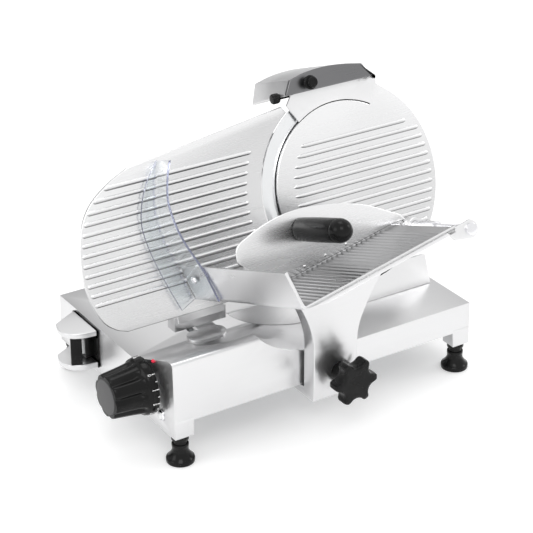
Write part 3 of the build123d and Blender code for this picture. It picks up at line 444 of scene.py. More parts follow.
def finishes():
    """Every finish used on the machine, by slot name."""
    s = bpy.context.scene.slicer_look
    casting = tuple(s.casting_colour)
    sheet = tuple(s.sheet_colour)
    plastic = tuple(s.plastic_colour)
    centre = lean(*BLADE, 0)
    m = {
        "cast_aluminium": brushed("cast_aluminium", casting, s.casting_roughness, (4, 260, 260), 0.012,
        0.04, 0.03),
        "housing_aluminium": brushed("housing_aluminium", (0.84, 0.84, 0.845), 0.34, (4, 260, 260), 0.012,
        0.04, 0.03),
        # the sheet darkens on faces turned down from UP: painted shade under each rib
        "brushed_aluminium": brushed("brushed_aluminium", sheet, s.sheet_roughness, (5, 420, 420), 0.03,
        0.06, 0.04,
                                     (UP, 0.14, -0.62, 0.1)),
        # the tray floor is a darker copy of the bright rim sheet, a painted shade, and its under direction adds
        # painted shade on one side of each ridge
        "tray_aluminium": brushed("tray_aluminium", (0.46, 0.46, 0.465), 0.3, (220, 8, 8), 0.02, 0.05, 0.05,
                                  (-floor_way(), 0.45, -0.45, 0.1)),
        "rim_aluminium": brushed("rim_aluminium", (0.84, 0.84, 0.845), 0.3, (20, 20, 20), 0.02, 0.05, 0.03),
        "blade_steel": ringed("blade_steel", (0.88, 0.89, 0.9), 0.17, centre),
        "polished_steel": brushed("polished_steel", (0.84, 0.84, 0.86), 0.1, (600, 600, 600), 0.03, 0.05,
        0.04),
        "plain_steel": brushed("plain_steel", (0.62, 0.62, 0.64), 0.32, (300, 300, 40), 0.1, 0.1, 0.12),
        "zinc_sheet": brushed("zinc_sheet", (0.62, 0.64, 0.66), 0.4, (20, 20, 20), 0.1, 0.16, 0.2),
        "sharpener_casting": brushed("sharpener_casting", (0.66, 0.66, 0.665), 0.34, (5, 300, 300), 0.06,
        0.08, 0.06),
        "sharpener_front": brushed("sharpener_front", (0.20, 0.20, 0.205), 0.3, (6, 300, 300), 0.03, 0.06,
        0.08),
        "black_plastic": moulded("black_plastic", plastic, 0.2, 0.03, 700.0, 0.0, 0.16),
        "black_rubber": moulded("black_rubber", (0.006, 0.006, 0.006), 0.15, 0.03, 500.0, 0.0, 0.18),
        "grey_plastic": moulded("grey_plastic", (0.055, 0.055, 0.056), 0.38, 0.05, 900.0, 0.0, 0.3),
        "white_plastic": moulded("white_plastic", (0.82, 0.83, 0.83), 0.2, 0.02),
        "red_plastic": moulded("red_plastic", (0.72, 0.01, 0.05), 0.25, 0.02),
        "mark_white": moulded("mark_white", (0.85, 0.85, 0.85), 0.45, 0.02),
        "bronze": brushed("bronze", (0.62, 0.42, 0.2), 0.4, (200, 200, 200), 0.1, 0.1, 0.1),
        "motor_paint": moulded("motor_paint", (0.05, 0.055, 0.06), 0.4, 0.1, 300.0),
        "board": moulded("board", (0.02, 0.13, 0.06), 0.4, 0.05, 300.0),
        "abrasive": moulded("abrasive", (0.36, 0.22, 0.18), 0.9, 0.8, 1500.0),
        "clear_plastic": clear("clear_plastic", (0.955, 0.975, 0.985)),
        "clear_edge": clear("clear_edge", (0.62, 0.66, 0.92), 0.12, 0.75),
    }
    return m


MATS = {}


def bevelled(node, width=0.0008, segments=3, angle=35):
    """Softens a carried-over piece's edges with a weld and a bevel that keeps flats flat."""
    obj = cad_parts[node]
    weld = obj.modifiers.new("join", "WELD")
    weld.merge_threshold = 0.00001
    bevel = obj.modifiers.new("edges", "BEVEL")
    bevel.width = width
    bevel.segments = segments
    bevel.limit_method = "ANGLE"
    bevel.angle_limit = radians(angle)
    bevel.harden_normals = True
    bevel.use_clamp_overlap = True
    obj.data.shade_smooth()
    return obj


def coat(node, name):
    """Gives a carried-over piece its finish in its own slot."""
    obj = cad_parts[node]
    for slot_ in obj.material_slots:
        slot_.material = MATS[name]


# ---------------------------------------------------------------- ribbed plates
def rib(x0, x1, v, n, width=0.0026, rise=0.0018, end=0.004, start=0.004):
    """A half-round rib along x whose section shrinks to nothing at both ends."""
    length = x1 - x0
    t = np.concatenate([
        np.linspace(0, 1, 7)[:-1] * start,
        np.linspace(start, length - end, 12),
        length - end + np.sin(np.linspace(0, pi / 2, 8)[1:]) * end,
    ])
    fade = np.ones_like(t)
    fade = np.where(t < start, np.sqrt(np.clip(1 - ((start - t) / start) ** 2, 0.0004, 1)), fade)
    late = (t - (length - end)) / end
    fade = np.where(late > 0, np.sqrt(np.clip(1 - late**2, 0.0004, 1)), fade)
    turn = np.linspace(0, pi, 13)
    section = np.stack([-np.cos(turn) * width, np.sin(turn) ** 0.8 * rise], axis=1)
    section = np.vstack([section, [[width, -0.0004], [-width, -0.0004]]])
    x = np.repeat((x0 + t)[:, None], len(section), axis=1)
    vv = v + section[None, :, 0] * fade[:, None]
    nn = n + np.where(section[None, :, 1] > 0, section[None, :, 1] * fade[:, None], section[None, :, 1])
    return outward(grid(lean(x, vv, nn), wrap_v=True))


def gauge_outline():
    """The gauge plate's outline in x and v."""
    turn = np.radians(np.linspace(233.1, 123.0, 60))
    bore = np.stack([BLADE[0] + 0.1265 * np.cos(turn), BLADE[1] + 0.1265 * np.sin(turn)], axis=1)
    left = spline([(0.034, 0.2199), (0.004, 0.2065), (-0.024, 0.1865), (-0.0415, 0.1575), (-0.050, 0.113),
                   (-0.0462, 0.0765), (-0.036, 0.0505), (-0.0225, 0.0375), (-0.008, 0.0315)], 60)
    return np.vstack([bore, [[0.2575, 0.2472]], left])


def gauge_plate():
    """The thickness gauge plate: a rounded slab hollowed round the blade, with twelve long ribs."""
    outline = gauge_outline()
    shells = [slab(outline, lambda a, b, c: lean(a, b, c), -0.006, -0.001, 0.0009)]
    left = outline[61:]
    for row in range(12):
        v = 0.2024 - 0.0119 * row
        x0 = np.interp(v, left[::-1, 1], left[::-1, 0]) + 0.002
        x1 = BLADE[0] - np.sqrt(0.146**2 - (v - BLADE[1]) ** 2)
        shells.append(rib(x0, x1, v, -0.001, 0.0028, 0.0021, 0.006, 0.003) + (0,))
    return piece("gauge_plate_face", shells, MATS["brushed_aluminium"], "gauge", ["gauge_plate"])


def cover_outline(radius_small=0.1055, radius_big=0.134):
    """The blade cover's outline: a disc that steps out to the ring's edge on the far side."""
    big = np.radians(np.linspace(-52, 60, 60))
    small = np.radians(np.linspace(60, 308, 110))
    a = np.stack([radius_big * np.cos(big), radius_big * np.sin(big)], axis=1)
    b = np.stack([radius_small * np.cos(small), radius_small * np.sin(small)], axis=1)
    return np.vstack([a, b]) + np.array(BLADE)


def blade_cover():
    """The ribbed cover plate over the blade, with a rolled edge and thirteen ribs."""
    shells = [slab(cover_outline(), lambda a, b, c: lean(a, b, c), 0.0003, 0.0024, 0.0009)]
    rim = [(0.1055, 0.0005), (0.1055, -0.0050), (0.1025, -0.0050), (0.1025, 0.0005)]
    turn = np.linspace(0, 2 * pi, 120, endpoint=False)
    rings = []
    for r, n in rim + rim[:1]:
        rings.append(lean(BLADE[0] + r * np.cos(turn), BLADE[1] + r * np.sin(turn), np.full(120, n)))
    shells.append(outward(grid(np.stack(rings[:-1]), wrap_u=True, wrap_v=True)))
    for row in range(13):
        v = BLADE[1] + 0.061 - 0.0119 * row
        reach = np.sqrt(0.134**2 - (v - BLADE[1]) ** 2)
        inner = np.sqrt(0.1055**2 - (v - BLADE[1]) ** 2)
        start = BLADE[0] - inner + 0.024 + 0.00012 * (row - 4) ** 2
        stop = BLADE[0] + reach - 0.006 - (0.012 if row == 0 else 0)
        shells.append(rib(start, stop, v, 0.0024, 0.0028, 0.0019, 0.005, 0.012))
    hub = lathe([(0.0001, -0.009), (0.0155, -0.009), (0.016, -0.0085), (0.016, 0.001), (0.0001, 0.001)],
                lean(*BLADE, 0), OUT, 48)
    shells.append(hub)
    return piece("blade_cover_face", shells, MATS["brushed_aluminium"], "base", ["blade_cover"])


def blade_disc():
    """The round blade: dished body, ground bevel with a step, thin edge and a central hole."""
    profile = [
        (0.009, -0.017), (0.0855, -0.017), (0.1075, -0.009), (0.1115, -0.0055), (0.118, -0.0037), (0.1249,
        -0.0020),
        (0.125, -0.0018), (0.1249, -0.0016), (0.1195, -0.0018), (0.1150, -0.0020), (0.1140, -0.0022),
        (0.1115, -0.0022),
        (0.1105, -0.0024), (0.1068, -0.0027), (0.1064, -0.0062), (0.1040, -0.0075), (0.0835, -0.014),
        (0.009, -0.014),
    ]
    turn = np.linspace(0, 2 * pi, 240, endpoint=False)
    rings = [lean(BLADE[0] + r * np.cos(turn), BLADE[1] + r * np.sin(turn), np.full(240, n)) for r,
        n in profile]
    shell = outward(grid(np.stack(rings), wrap_u=True, wrap_v=True))
    return piece("blade_ground", [shell], MATS["blade_steel"], "blade_rotor", ["blade"], 30)


# ---------------------------------------------------------------- tray, pusher and guard
def floor_way():
    """The direction up the tray floor, away from its flange."""
    return cos(TRAY_TILT) * np.array([1.0, 0, 0]) + sin(TRAY_TILT) * UP


def tray():
    """The product tray: one bent sheet with a grooved floor, an outer lip and two lugs for the pusher rod."""
    run = 0.216 / cos(TRAY_TILT)
    top = np.array([CORNER[0] - 0.0468 * sin(FLANGE_LEAN), CORNER[1] + 0.0468 * cos(FLANGE_LEAN)])
    corner = np.array(CORNER)
    end = corner + run * np.array([cos(TRAY_TILT), sin(TRAY_TILT)])
    up_dir = (top - corner) / np.linalg.norm(top - corner)
    floor_dir = (end - corner) / np.linalg.norm(end - corner)
    radius = 0.004
    inner = [top] + list(even([top, corner + up_dir * radius], 0.006)[1:])
    for t in np.linspace(0, 1, 9)[1:]:
        a, b = corner + up_dir * radius, corner + floor_dir * radius
        inner.append((1 - t) ** 2 * a + 2 * t * (1 - t) * corner + t**2 * b)
    start = len(inner)
    pitch = 0.0075
    s = np.arange(radius + 0.0005, run, 0.00075)
    inner += [corner + floor_dir * k for k in s]
    inner.append(end)
    inner = np.array(inner)
    tang = np.gradient(inner, axis=0)
    tang /= np.linalg.norm(tang, axis=1)[:, None] + 1e-12
    norm = np.stack([tang[:, 1], -tang[:, 0]], axis=1)
    norm *= np.sign((norm[-1] * np.array([0, -1.0])).sum())
    wave = np.zeros(len(inner))
    along = (inner[start:] - corner) @ floor_dir
    inside = np.clip((along - 0.012) / 0.006, 0, 1) * np.clip((run - 0.014 - along) / 0.006, 0, 1)
    phase = (along / pitch) % 1.0
    wave[start:] = inside * 0.00115 * np.exp(-((phase - 0.5) / 0.2) ** 2)
    face = inner - norm * wave[:, None]
    outer = inner + norm * 0.0025
    loop = np.vstack([face, outer[::-1]])
    ns = np.array([0.0049, 0.0055, 0.02, 0.06, 0.12, 0.18, 0.236, 0.2414, 0.246])
    flat = np.vstack([inner, outer[::-1]])
    rings = []
    for n in ns:
        k = 1.0 if 0.006 < n < 0.24 else 0.0
        rings.append(lean((flat + (loop - flat) * k)[:, 0], (flat + (loop - flat) * k)[:, 1],
            np.full(len(loop), n)))
    shells = [outward(grid(np.stack(rings), wrap_v=True))]
    # lip turned down along the operator's edge
    lip = np.vstack([
        even([CORNER, tuple(end)], 0.02),
        [[end[0], end[1] - 0.007], [CORNER[0] + 0.03, CORNER[1] - 0.0015]],
    ])
    shells.append(slab(lip, lambda a, b, c: lean(a, b, c), 0.2435, 0.2460, 0.0007))
    bead = inner[::3] - 0.0004 * norm[::3]
    shells.append(tube(list(lean(bead[:, 0], bead[:, 1], np.full(len(bead), 0.2443))), 0.0016, 12))
    for low in (0.008, 0.243):
        eye = np.radians(np.linspace(-100, 118, 30))
        ring = np.stack([0.328 + 0.011 * np.cos(eye), 0.080 + 0.011 * np.sin(eye)], axis=1)
        tab = np.vstack([ring, [[end[0] - 0.001, end[1] - 0.0005], [end[0] - 0.014, end[1] - 0.0032],
                                [end[0] - 0.002, end[1] - 0.016]]])
        shells.append(slab(tab, lambda a, b, c: lean(a, b, c), low, low + 0.003, 0.0008))
    made = piece("tray_sheet", shells, [MATS["rim_aluminium"], MATS["tray_aluminium"]],
                 "carriage", ["tray"], 40)
    count = len(made.data.polygons)
    shade_facing = np.empty(count * 3)
    made.data.polygons.foreach_get("normal", shade_facing)
    # faces turned up into the floor take the darker copy, a painted shade; all other faces keep the bright rim
    # finish
    lift = shade_facing.reshape(-1, 3) @ (cos(TRAY_TILT) * UP - sin(TRAY_TILT) * np.array([1.0, 0, 0]))
    made.data.polygons.foreach_set("material_index", (lift > 0.75).astype(np.int32))
    return made


def plate_outline():
    """The pusher plate's outline in x and v: flat foot, high crowned back and a narrow end at the rod."""
    slope = sin(TRAY_TILT) / cos(TRAY_TILT)
    foot = lambda x: 0.0495 + (x - 0.091) * slope
    low = even([(0.0935, foot(0.0935)), (0.308, foot(0.308)), (0.322, 0.090), (0.326, 0.0899)], 0.004)
    top = spline([(0.326, 0.0899), (0.318, 0.0985), (0.303, 0.106), (0.273, 0.1205), (0.240, 0.130), (0.208,
        0.1353),
                  (0.180, 0.1373), (0.152, 0.1350), (0.125, 0.1285), (0.104, 0.1205), (0.094, 0.1160),
                  (0.0885, 0.1090),
                  (0.0875, 0.1000), (0.0885, 0.0935), (0.0935, 0.0890)], 90)
    return np.vstack([low[:-1], top])


def pusher_plate():
    """The pusher's plate: its outline swept flat with rounded edges, rivets along its foot, a hub on its rod."""
    def bent(a, b, c):
        return lean(a, b, c + 0.1200)
    shells = [slab(plate_outline(), bent, 0.0, 0.0025, 0.0010, 4) + (0,)]
    for x in np.linspace(0.112, 0.235, 5):
        v = 0.0495 + (x - 0.091) * 0.185 + 0.0055
        shells.append(lathe([(0.0001, 0.0), (0.0019, 0.0), (0.0017, 0.0007), (0.0010, 0.0012), (0.0001,
            0.0013)],
                            lean(x, v, 0.1224), OUT, 20))
    hub = [(0.0087, 0.0), (0.0118, 0.0), (0.0122, 0.0005), (0.0122, 0.0175), (0.0118, 0.018), (0.0087, 0.018)]
    turn = np.linspace(0, 2 * pi, 60, endpoint=False)
    rings = [lean(PUSHER_ROD[0] + r * np.cos(turn), PUSHER_ROD[1] + r * np.sin(turn),
                  np.full(60, 0.12 + n)) for r, n in hub]
    shells.append(outward(grid(np.stack(rings), wrap_u=True, wrap_v=True)))
    return piece("pusher_plate_pressed", shells, MATS["brushed_aluminium"], "pusher", ["pusher_plate"],
                 40)


def handle():
    """The pusher's round handle: slim waist at the plate, long barrel, groove and domed end."""
    p = [(0.0001, 0.0), (0.0150, 0.0), (0.0158, 0.0008), (0.0162, 0.004)]
    p += [(0.0162 + 0.0004 * sin(pi * t), 0.004 + 0.072 * t) for t in np.linspace(0.1, 1, 8)]
    p += [(0.0160, 0.0775), (0.0155, 0.0782), (0.0155, 0.0792), (0.0161, 0.0800)]
    p += [(0.0001 + 0.0162 * cos(t), 0.0810 + 0.0168 * sin(t)) for t in np.linspace(0, pi / 2, 18)]
    p = [(r * GRIP_SCALE, h) for r, h in p]
    return piece("pusher_grip", [lathe(p, lean(*GRIP, 0.1226), OUT, 72)], MATS["black_plastic"], "pusher",
                 ["pusher_handle"], 40)


def hand_guard():
    """The clear guard: a sheet with one leg across the gauge plate and one beside the tray's flange.

    At each height a level line runs from the outer edge to the corner, turns a quarter circle and runs on
    to its reach; the sheet's other face is the same line a thickness away.
    """
    corner = spline([(0.0868, 0.0475), (0.0805, 0.0715), (0.0746, 0.0925), (0.0668, 0.1180), (0.0632, 0.1405),
                     (0.0622, 0.1600), (0.0642, 0.1790), (0.0700, 0.2020), (0.0772, 0.2195)], 40)
    outer = spline([(0.0640, 0.0387), (0.0540, 0.0660), (0.0445, 0.0950), (0.0372, 0.1250), (0.0350, 0.1520),
                    (0.0420, 0.1780), (0.0530, 0.1985), (0.0640, 0.2125), (0.0712, 0.2208)], 40)
    reach = np.interp(corner[:, 1], [0.040, 0.081, 0.107, 0.139, 0.176, 0.225],
                      [0.0630, 0.0610, 0.0540, 0.0410, 0.0310, 0.0298])
    gap, bend, thick = 0.003, 0.004, 0.0028
    run = np.linspace(0, 1, 9)
    turn = np.radians(np.linspace(10, 80, 6))
    cx, cv, ox, ov = corner[:, :1], corner[:, 1:], outer[:, :1], outer[:, 1:]
    far = reach[:, None]
    flat, curl = np.ones(9), np.ones(6)
    leg = np.stack([ox + (cx - bend - ox) * run, ov + (cv - ov) * run, gap + 0 * cx * flat], axis=-1)
    fold = np.stack([cx - bend + bend * np.sin(turn), cv * curl, gap + bend * (1 - np.cos(turn)) + 0 * cx],
        axis=-1)
    side = np.stack([cx * flat, cv * flat, gap + bend + (far - gap - bend) * run], axis=-1)
    front = np.concatenate([leg, fold, side], axis=1)
    fold_step = thick * np.stack([-np.sin(turn), 0 * turn, np.cos(turn)], axis=-1)
    back = np.concatenate([leg + [0, 0, thick], fold + fold_step, side - [thick, 0, 0]], axis=1)
    loop = np.concatenate([front, back[:, ::-1]], axis=1)
    pts = lean(loop[..., 0], loop[..., 1], loop[..., 2])
    verts, faces = outward(grid(pts, wrap_v=True))
    obj = piece("hand_guard_clear", [(verts, faces)], [MATS["clear_plastic"], MATS["clear_edge"]],
                "carriage", ["hand_guard"],
                40)
    width = loop.shape[1]
    column = np.arange(len(obj.data.polygons)) % width
    edge = ((column == width // 2 - 1) | (column == width - 1)).astype(np.int32)
    edge[-2:] = 1
    obj.data.polygons.foreach_set("material_index", edge)
    return obj


# ---------------------------------------------------------------- knobs and feet
DIGITS = {
    "0": ["01110", "10001", "10001", "10001", "10001", "10001", "01110"],
    "1": ["00100", "01100", "00100", "00100", "00100", "00100", "01110"],
    "2": ["01110", "10001", "00001", "00110", "01000", "10000", "11111"],
    "3": ["01110", "10001", "00001", "00110", "00001", "10001", "01110"],
    "4": ["00010", "00110", "01010", "10010", "11111", "00010", "00010"],
    "5": ["11111", "10000", "11110", "00001", "00001", "10001", "01110"],
    "6": ["01110", "10000", "10000", "11110", "10001", "10001", "01110"],
    "7": ["11111", "00001", "00010", "00100", "00100", "01000", "01000"],
    "8": ["01110", "10001", "10001", "01110", "10001", "10001", "01110"],
    "9": ["01110", "10001", "10001", "01111", "00001", "00001", "01110"],
}
DIAL = (0.058, 0.0865)


def around_dial(x, turn, radius):
    """A point round the dial's spindle: x along it, turn in degrees from the top, at a radius."""
    t = np.radians(turn)
    return plain(x, DIAL[0] + radius * np.sin(t), DIAL[1] + radius * np.cos(t))


def block(x0, x1, a0, a1, r0, r1):
    """A small printed block on the dial's skirt, between two depths, two angles and two radii."""
    corners = []
    for x in (x0, x1):
        ring = [around_dial(x, a, r) for a, r in ((a0, r0), (a1, r0), (a1, r1), (a0, r1))]
        corners.append(np.array(ring))
    return outward(grid(np.stack(corners), wrap_v=True))


def dial():
    """The thickness dial: a stepped skirt and a fluted, tapering grip, as one closed turned surface."""
    stations = [
        (-0.0060, 0.0062, 0), (-0.0060, 0.0345, 0), (-0.0063, 0.0356, 0), (-0.0070, 0.0360, 0), (-0.0120,
        0.0357, 0),
        (-0.0160, 0.0348, 0), (-0.0170, 0.0344, 0), (-0.0176, 0.0336, 0.02), (-0.0186, 0.0326, 0.1),
        (-0.0200, 0.0321, 0.35), (-0.0230, 0.0316, 0.75), (-0.0270, 0.0309, 1), (-0.0330, 0.0300, 1),
        (-0.0420, 0.0290, 0.92), (-0.0500, 0.0281, 0.8), (-0.0556, 0.0275, 0.7), (-0.0578, 0.0270, 0.62),
        (-0.0586, 0.0262, 0.5), (-0.0588, 0.0250, 0.3), (-0.0588, 0.0224, 0), (-0.0570, 0.0222, 0),
        (-0.0570, 0.0062, 0),
    ]
    turn = np.linspace(0, 360, 240, endpoint=False)
    lobe = 0.5 - 0.5 * np.cos(np.radians(8 * (turn - 12)))
    dip = (1 - lobe) ** 3
    rings = []
    for x, r, k in stations:
        rings.append(around_dial(np.full(240, x), turn, r - 0.0042 * k * dip))
    shell = outward(grid(np.stack(rings), wrap_u=True, wrap_v=True))
    grip = piece("dial_grip", [shell], MATS["black_plastic"], "dial", ["thickness_knob"], 50)
    marks = []
    for k in range(21):
        a = 18 + 15.0 * k
        long = 0.0038 if k % 2 == 0 else 0.0024
        marks.append(block(-0.0064 - long, -0.0064, a - 0.7, a + 0.7, 0.0350, 0.03625))
    for k in range(11):
        text = str((10 - k) if k < 10 else 0)
        centre = 18 + 30.0 * k
        cell = 0.42
        for pos, char in enumerate(text):
            shift = (pos - (len(text) - 1) / 2) * cell * 6.4
            for row, bits in enumerate(DIGITS[char]):
                on = [i for i, b in enumerate(bits) if b == "1"]
                if not on:
                    continue
                runs = np.split(np.array(on), np.where(np.diff(on) != 1)[0] + 1)
                for run in runs:
                    a0 = centre - shift + (2.5 - run[0]) * cell * 1.6
                    a1 = centre - shift + (2.5 - run[-1] - 1) * cell * 1.6
                    x0 = -0.0112 - (7 - row) * 0.00055
                    marks.append(block(x0, x0 + 0.00056, a1, a0, 0.0340, 0.03605))
    piece("dial_marks", marks, MATS["mark_white"], "dial", [])
    cap = [(0.0001, 0.0571), (0.0220, 0.0571), (0.0221, 0.0590), (0.0215, 0.0597), (0.0180, 0.0600),
        (0.0001, 0.0600)]
    piece("dial_cap", [lathe(cap, plain(0, *DIAL), (-1, 0, 0), 72)], MATS["grey_plastic"], "dial",
    ["knob_cap"],
          30)
    return grip


def star_knob():
    """The carriage's clamp knob: a disc with six round scallops cut from its rim, on a short waist.

    The rim's radius is the disc's own, or the distance to the near side of the nearest scallop's circle.
    """
    turn = np.linspace(0, 2 * pi, 360, endpoint=False)
    off = (np.degrees(turn) % 60) - 30
    chord = 0.0132**2 - (0.0345 * np.sin(np.radians(off))) ** 2
    scallop = 0.0345 * np.cos(np.radians(off)) - np.sqrt(np.clip(chord, 0, None))
    shape = np.where(chord > 0, np.minimum(scallop, 0.030), 0.030)
    shape = sum(np.roll(shape, k) for k in range(-3, 4)) / 7
    stations = [
        (0.025, 0.0001, 0), (0.025, 0.0140, 0), (0.0262, 0.0146, 0), (0.0400, 0.0158, 0.1), (0.0430, 0.0175,
        0.3),
        (0.0438, 0.90, 2), (0.0446, 0.955, 2), (0.0462, 0.99, 2), (0.0490, 1.0, 2), (0.0560, 1.0, 2),
        (0.0595, 0.99, 2),
        (0.0612, 0.955, 2), (0.0620, 0.90, 2), (0.0620, 0.74, 2), (0.0620, 0.40, 2), (0.0620, 0.0001, 0),
    ]
    rings = []
    for y, r, kind in stations:
        radius = shape * r if kind == 2 else np.full(360, r)
        rings.append(plain(STAR[0] + radius * np.cos(turn), np.full(360, -y), STAR[1] + radius * np.sin(turn)))
    knob = outward(grid(np.stack(rings), wrap_v=True))
    stud = tube([plain(STAR[0], -0.0045, STAR[1]), plain(STAR[0], -0.015, STAR[1]),
                 plain(STAR[0], -0.026, STAR[1])], 0.005, 28)
    return piece("star_grip", [knob, stud], MATS["black_plastic"], "star_clamp", ["star_knob"],
        45)


def feet():
    """Four turned levelling feet: a bell base, a waist, a collar and a top washer under the leg."""
    profile = [
        (0.0001, 0.0), (0.0160, 0.0), (0.0172, 0.0006), (0.0175, 0.0016), (0.0175, 0.0050), (0.0171, 0.0060),
        (0.0161, 0.0067), (0.0146, 0.0082), (0.0128, 0.0106), (0.0112, 0.0132), (0.0104, 0.0150), (0.0101,
        0.0162),
        (0.0101, 0.0215), (0.0104, 0.0220), (0.0104, 0.0246), (0.0100, 0.0252), (0.0080, 0.0256), (0.0077,
        0.0262),
        (0.0077, 0.0298), (0.0082, 0.0303), (0.0104, 0.0306), (0.0108, 0.0312), (0.0108, 0.0360), (0.0104,
        0.0368),
        (0.0041, 0.0369), (0.0041, 0.0200), (0.0001, 0.0200),
    ]
    made = []
    for k, (x, y) in enumerate(((0.0125, 0.011), (0.0125, 0.281), (0.4235, 0.011), (0.4235, 0.281))):
        base = lathe(profile, plain(x, y, 0), (0, 0, 1), 72)
        node = "foot_%d" % (k + 1)
        made.append(piece(node + "_turned", [base], MATS["black_rubber"], "base", [node], 38))
    return made


# ---------------------------------------------------------------- sharpener
def sharpener_outline(inset=0.0, low=0.248):
    """The sharpener's crowned outline in x and v."""
    crown = spline([(0.268 + inset, 0.2775 - inset), (0.292, 0.2826 - inset), (0.319, 0.2845 - inset),
                    (0.347, 0.2828 - inset), (0.376 - inset, 0.278 - inset)], 40)
    return np.vstack([crown, [[0.391 - inset, 0.256], [0.392 - inset, low], [0.258 + inset, low]]])


def sharpener():
    """The sharpener's body: a crowned box that is deeper behind, a separate dark front panel and a shadow gap."""
    n = np.array([-0.074, -0.0736, -0.0725, -0.071, -0.03, 0.008, 0.0098])
    inset = np.array([0.0022, 0.0012, 0.0004, 0.0, 0.0, 0.0, 0.0])
    rings_out, rings_in = [], []
    for a, i in zip(n, inset):
        low = np.interp(a, [-0.079, 0.011], [0.251, 0.2595])
        o = rounded(sharpener_outline(i, low), [0.0] * 39 + [0.004, 0.004, 0.002, 0.002], 6)
        q = inset_outline(ccw(o), 0.0022)
        o = ccw(o)
        rings_out.append(lean(o[:, 0], o[:, 1], np.full(len(o), a)))
        q[:, 1] = np.where(q[:, 1] < low + 0.0022, low + 0.0004, q[:, 1])
        rings_in.append(lean(q[:, 0], q[:, 1], np.full(len(q), max(a, -0.0712))))
    loop = np.stack(rings_out + rings_in[::-1])
    body = outward(grid(loop, wrap_u=True, wrap_v=True))
    back = slab(rounded(sharpener_outline(0.002, 0.2515), [0.0] * 39 + [0.004, 0.004, 0.002, 0.002], 6),
                lambda a, b, c: lean(a, b, c), -0.0740, -0.0715, 0.0006)
    piece("sharpener_body", [body, back], MATS["sharpener_casting"], "base", ["sharpener_cover"],
          40)
    front = ccw(rounded(sharpener_outline(0.0, 0.2595), [0.003] + [0.0] * 38 + [0.004, 0.003, 0.002, 0.003],
        6))
    panel = slab(front, lambda a, b, c: lean(a, b, c), 0.0100, 0.0140, 0.0012, 4)
    return piece("sharpener_panel", [panel], MATS["sharpener_front"], "base", [], 40)


def push_knob(x, v, base, direction):
    """A two-step push knob with a knurled rim and a dished top."""
    turn = np.linspace(0, 2 * pi, 144, endpoint=False)
    knurl = 0.00025 * np.cos(24 * turn)
    rings = []
    for r, h, k in ((0.0001, 0, 0), (0.0080, 0, 0), (0.0087, 0.0006, 1), (0.0088, 0.0034, 1), (0.0080,
        0.0040, 0),
                    (0.0067, 0.0042, 0), (0.0066, 0.0080, 1), (0.0066, 0.0088, 1), (0.0060, 0.0095, 0),
                    (0.0040, 0.0095, 0), (0.0036, 0.0091, 0), (0.0001, 0.0090, 0)):
        rr = r + knurl * k
        rings.append(lean(x + rr * np.cos(turn), v + rr * np.sin(turn), np.full(144, base + direction * h)))
    return outward(grid(np.stack(rings), wrap_v=True))


def plunger(name, x, v, base, direction, inner, node, body):
    """One sharpener plunger: its push knob, spindle and the two collars that hold its stone."""
    far = inner[0]
    shells = [push_knob(x, v, base, direction)]
    shells.append(tube([lean(x, v, base), lean(x, v, 0.5 * (base + far)), lean(x, v, far)], 0.003, 24))
    for c in inner[1:]:
        shells.append(lathe([(0.0001, 0.0), (0.0044, 0.0), (0.0046, 0.0003), (0.0046, 0.0010), (0.0044,
            0.0013),
                             (0.0001, 0.0013)], lean(x, v, c), OUT, 32))
    return piece(name, shells, MATS["black_plastic"], body, [node], 40)


def clamp_knob():
    """The sharpener's side clamp knob: a deeply fluted thumb wheel on a short stem."""
    turn = np.linspace(0, 2 * pi, 160, endpoint=False)
    rings = []
    for r, h in ((0.0001, 0.0), (0.0052, 0.0), (0.0062, 0.0008), (0.0065, 0.0020), (0.0065, 0.0080),
        (0.0062, 0.0092),
                 (0.0052, 0.0100), (0.0025, 0.0100), (0.0025, 0.0250), (0.0001, 0.0250)):
        rr = r * (1 - (0.09 * (0.5 - 0.5 * np.cos(8 * turn)) ** 3 if r > 0.005 else 0))
        rings.append(lean(np.full(160, 0.250 + h), 0.258 + rr * np.cos(turn), -0.008 + rr * np.sin(turn)))
    return piece("clamp_wheel", [outward(grid(np.stack(rings), wrap_v=True))], MATS["black_plastic"],
                 "sharpener_clamp", ["sharpener_knob"], 40)


# ---------------------------------------------------------------- switch guard and small fittings
def switch_guard():
    """Two bright fan-shaped shelves, a rear plate and a dark post between them, round the two keys."""
    front = spline([(-0.036, 0.231), (-0.0402, 0.2145), (-0.035, 0.198), (-0.020, 0.189), (-0.0006, 0.186)],
        30)
    fan = rounded(np.vstack([[[-0.0006, 0.250]], front]), [0.001] + [0.004] + [0.0] * 28 + [0.001], 5)
    shells = []
    for low, high in ((0.046, 0.054), (0.091, 0.098)):
        shells.append(slab(fan, lambda a, b, c: plain(a, b, c), low, high, 0.0014, 4) + (0,))
    for y0, y1, z0, z1 in ((0.186, 0.2018, 0.046, 0.098), (0.2282, 0.250, 0.046, 0.098), (0.186, 0.250,
        0.046, 0.0574),
                           (0.186, 0.250, 0.0876, 0.098)):
        shells.append(slab([(-0.0026, y0), (-0.0001, y0), (-0.0001, y1), (-0.0026, y1)],
                           lambda a, b, c: plain(a, b, c), z0, z1, 0.0003) + (1,))
    post = [(-0.034, 0.196), (-0.020, 0.1915), (-0.020, 0.1955), (-0.032, 0.2015)]
    shells.append(slab(rounded(post, 0.0012), lambda a, b, c: plain(a, b, c), 0.054, 0.091, 0.0004) + (1,))
    return piece("switch_shelves", shells, [MATS["cast_aluminium"], MATS["black_plastic"]], "base",
        ["switch_guard"],
                 40)


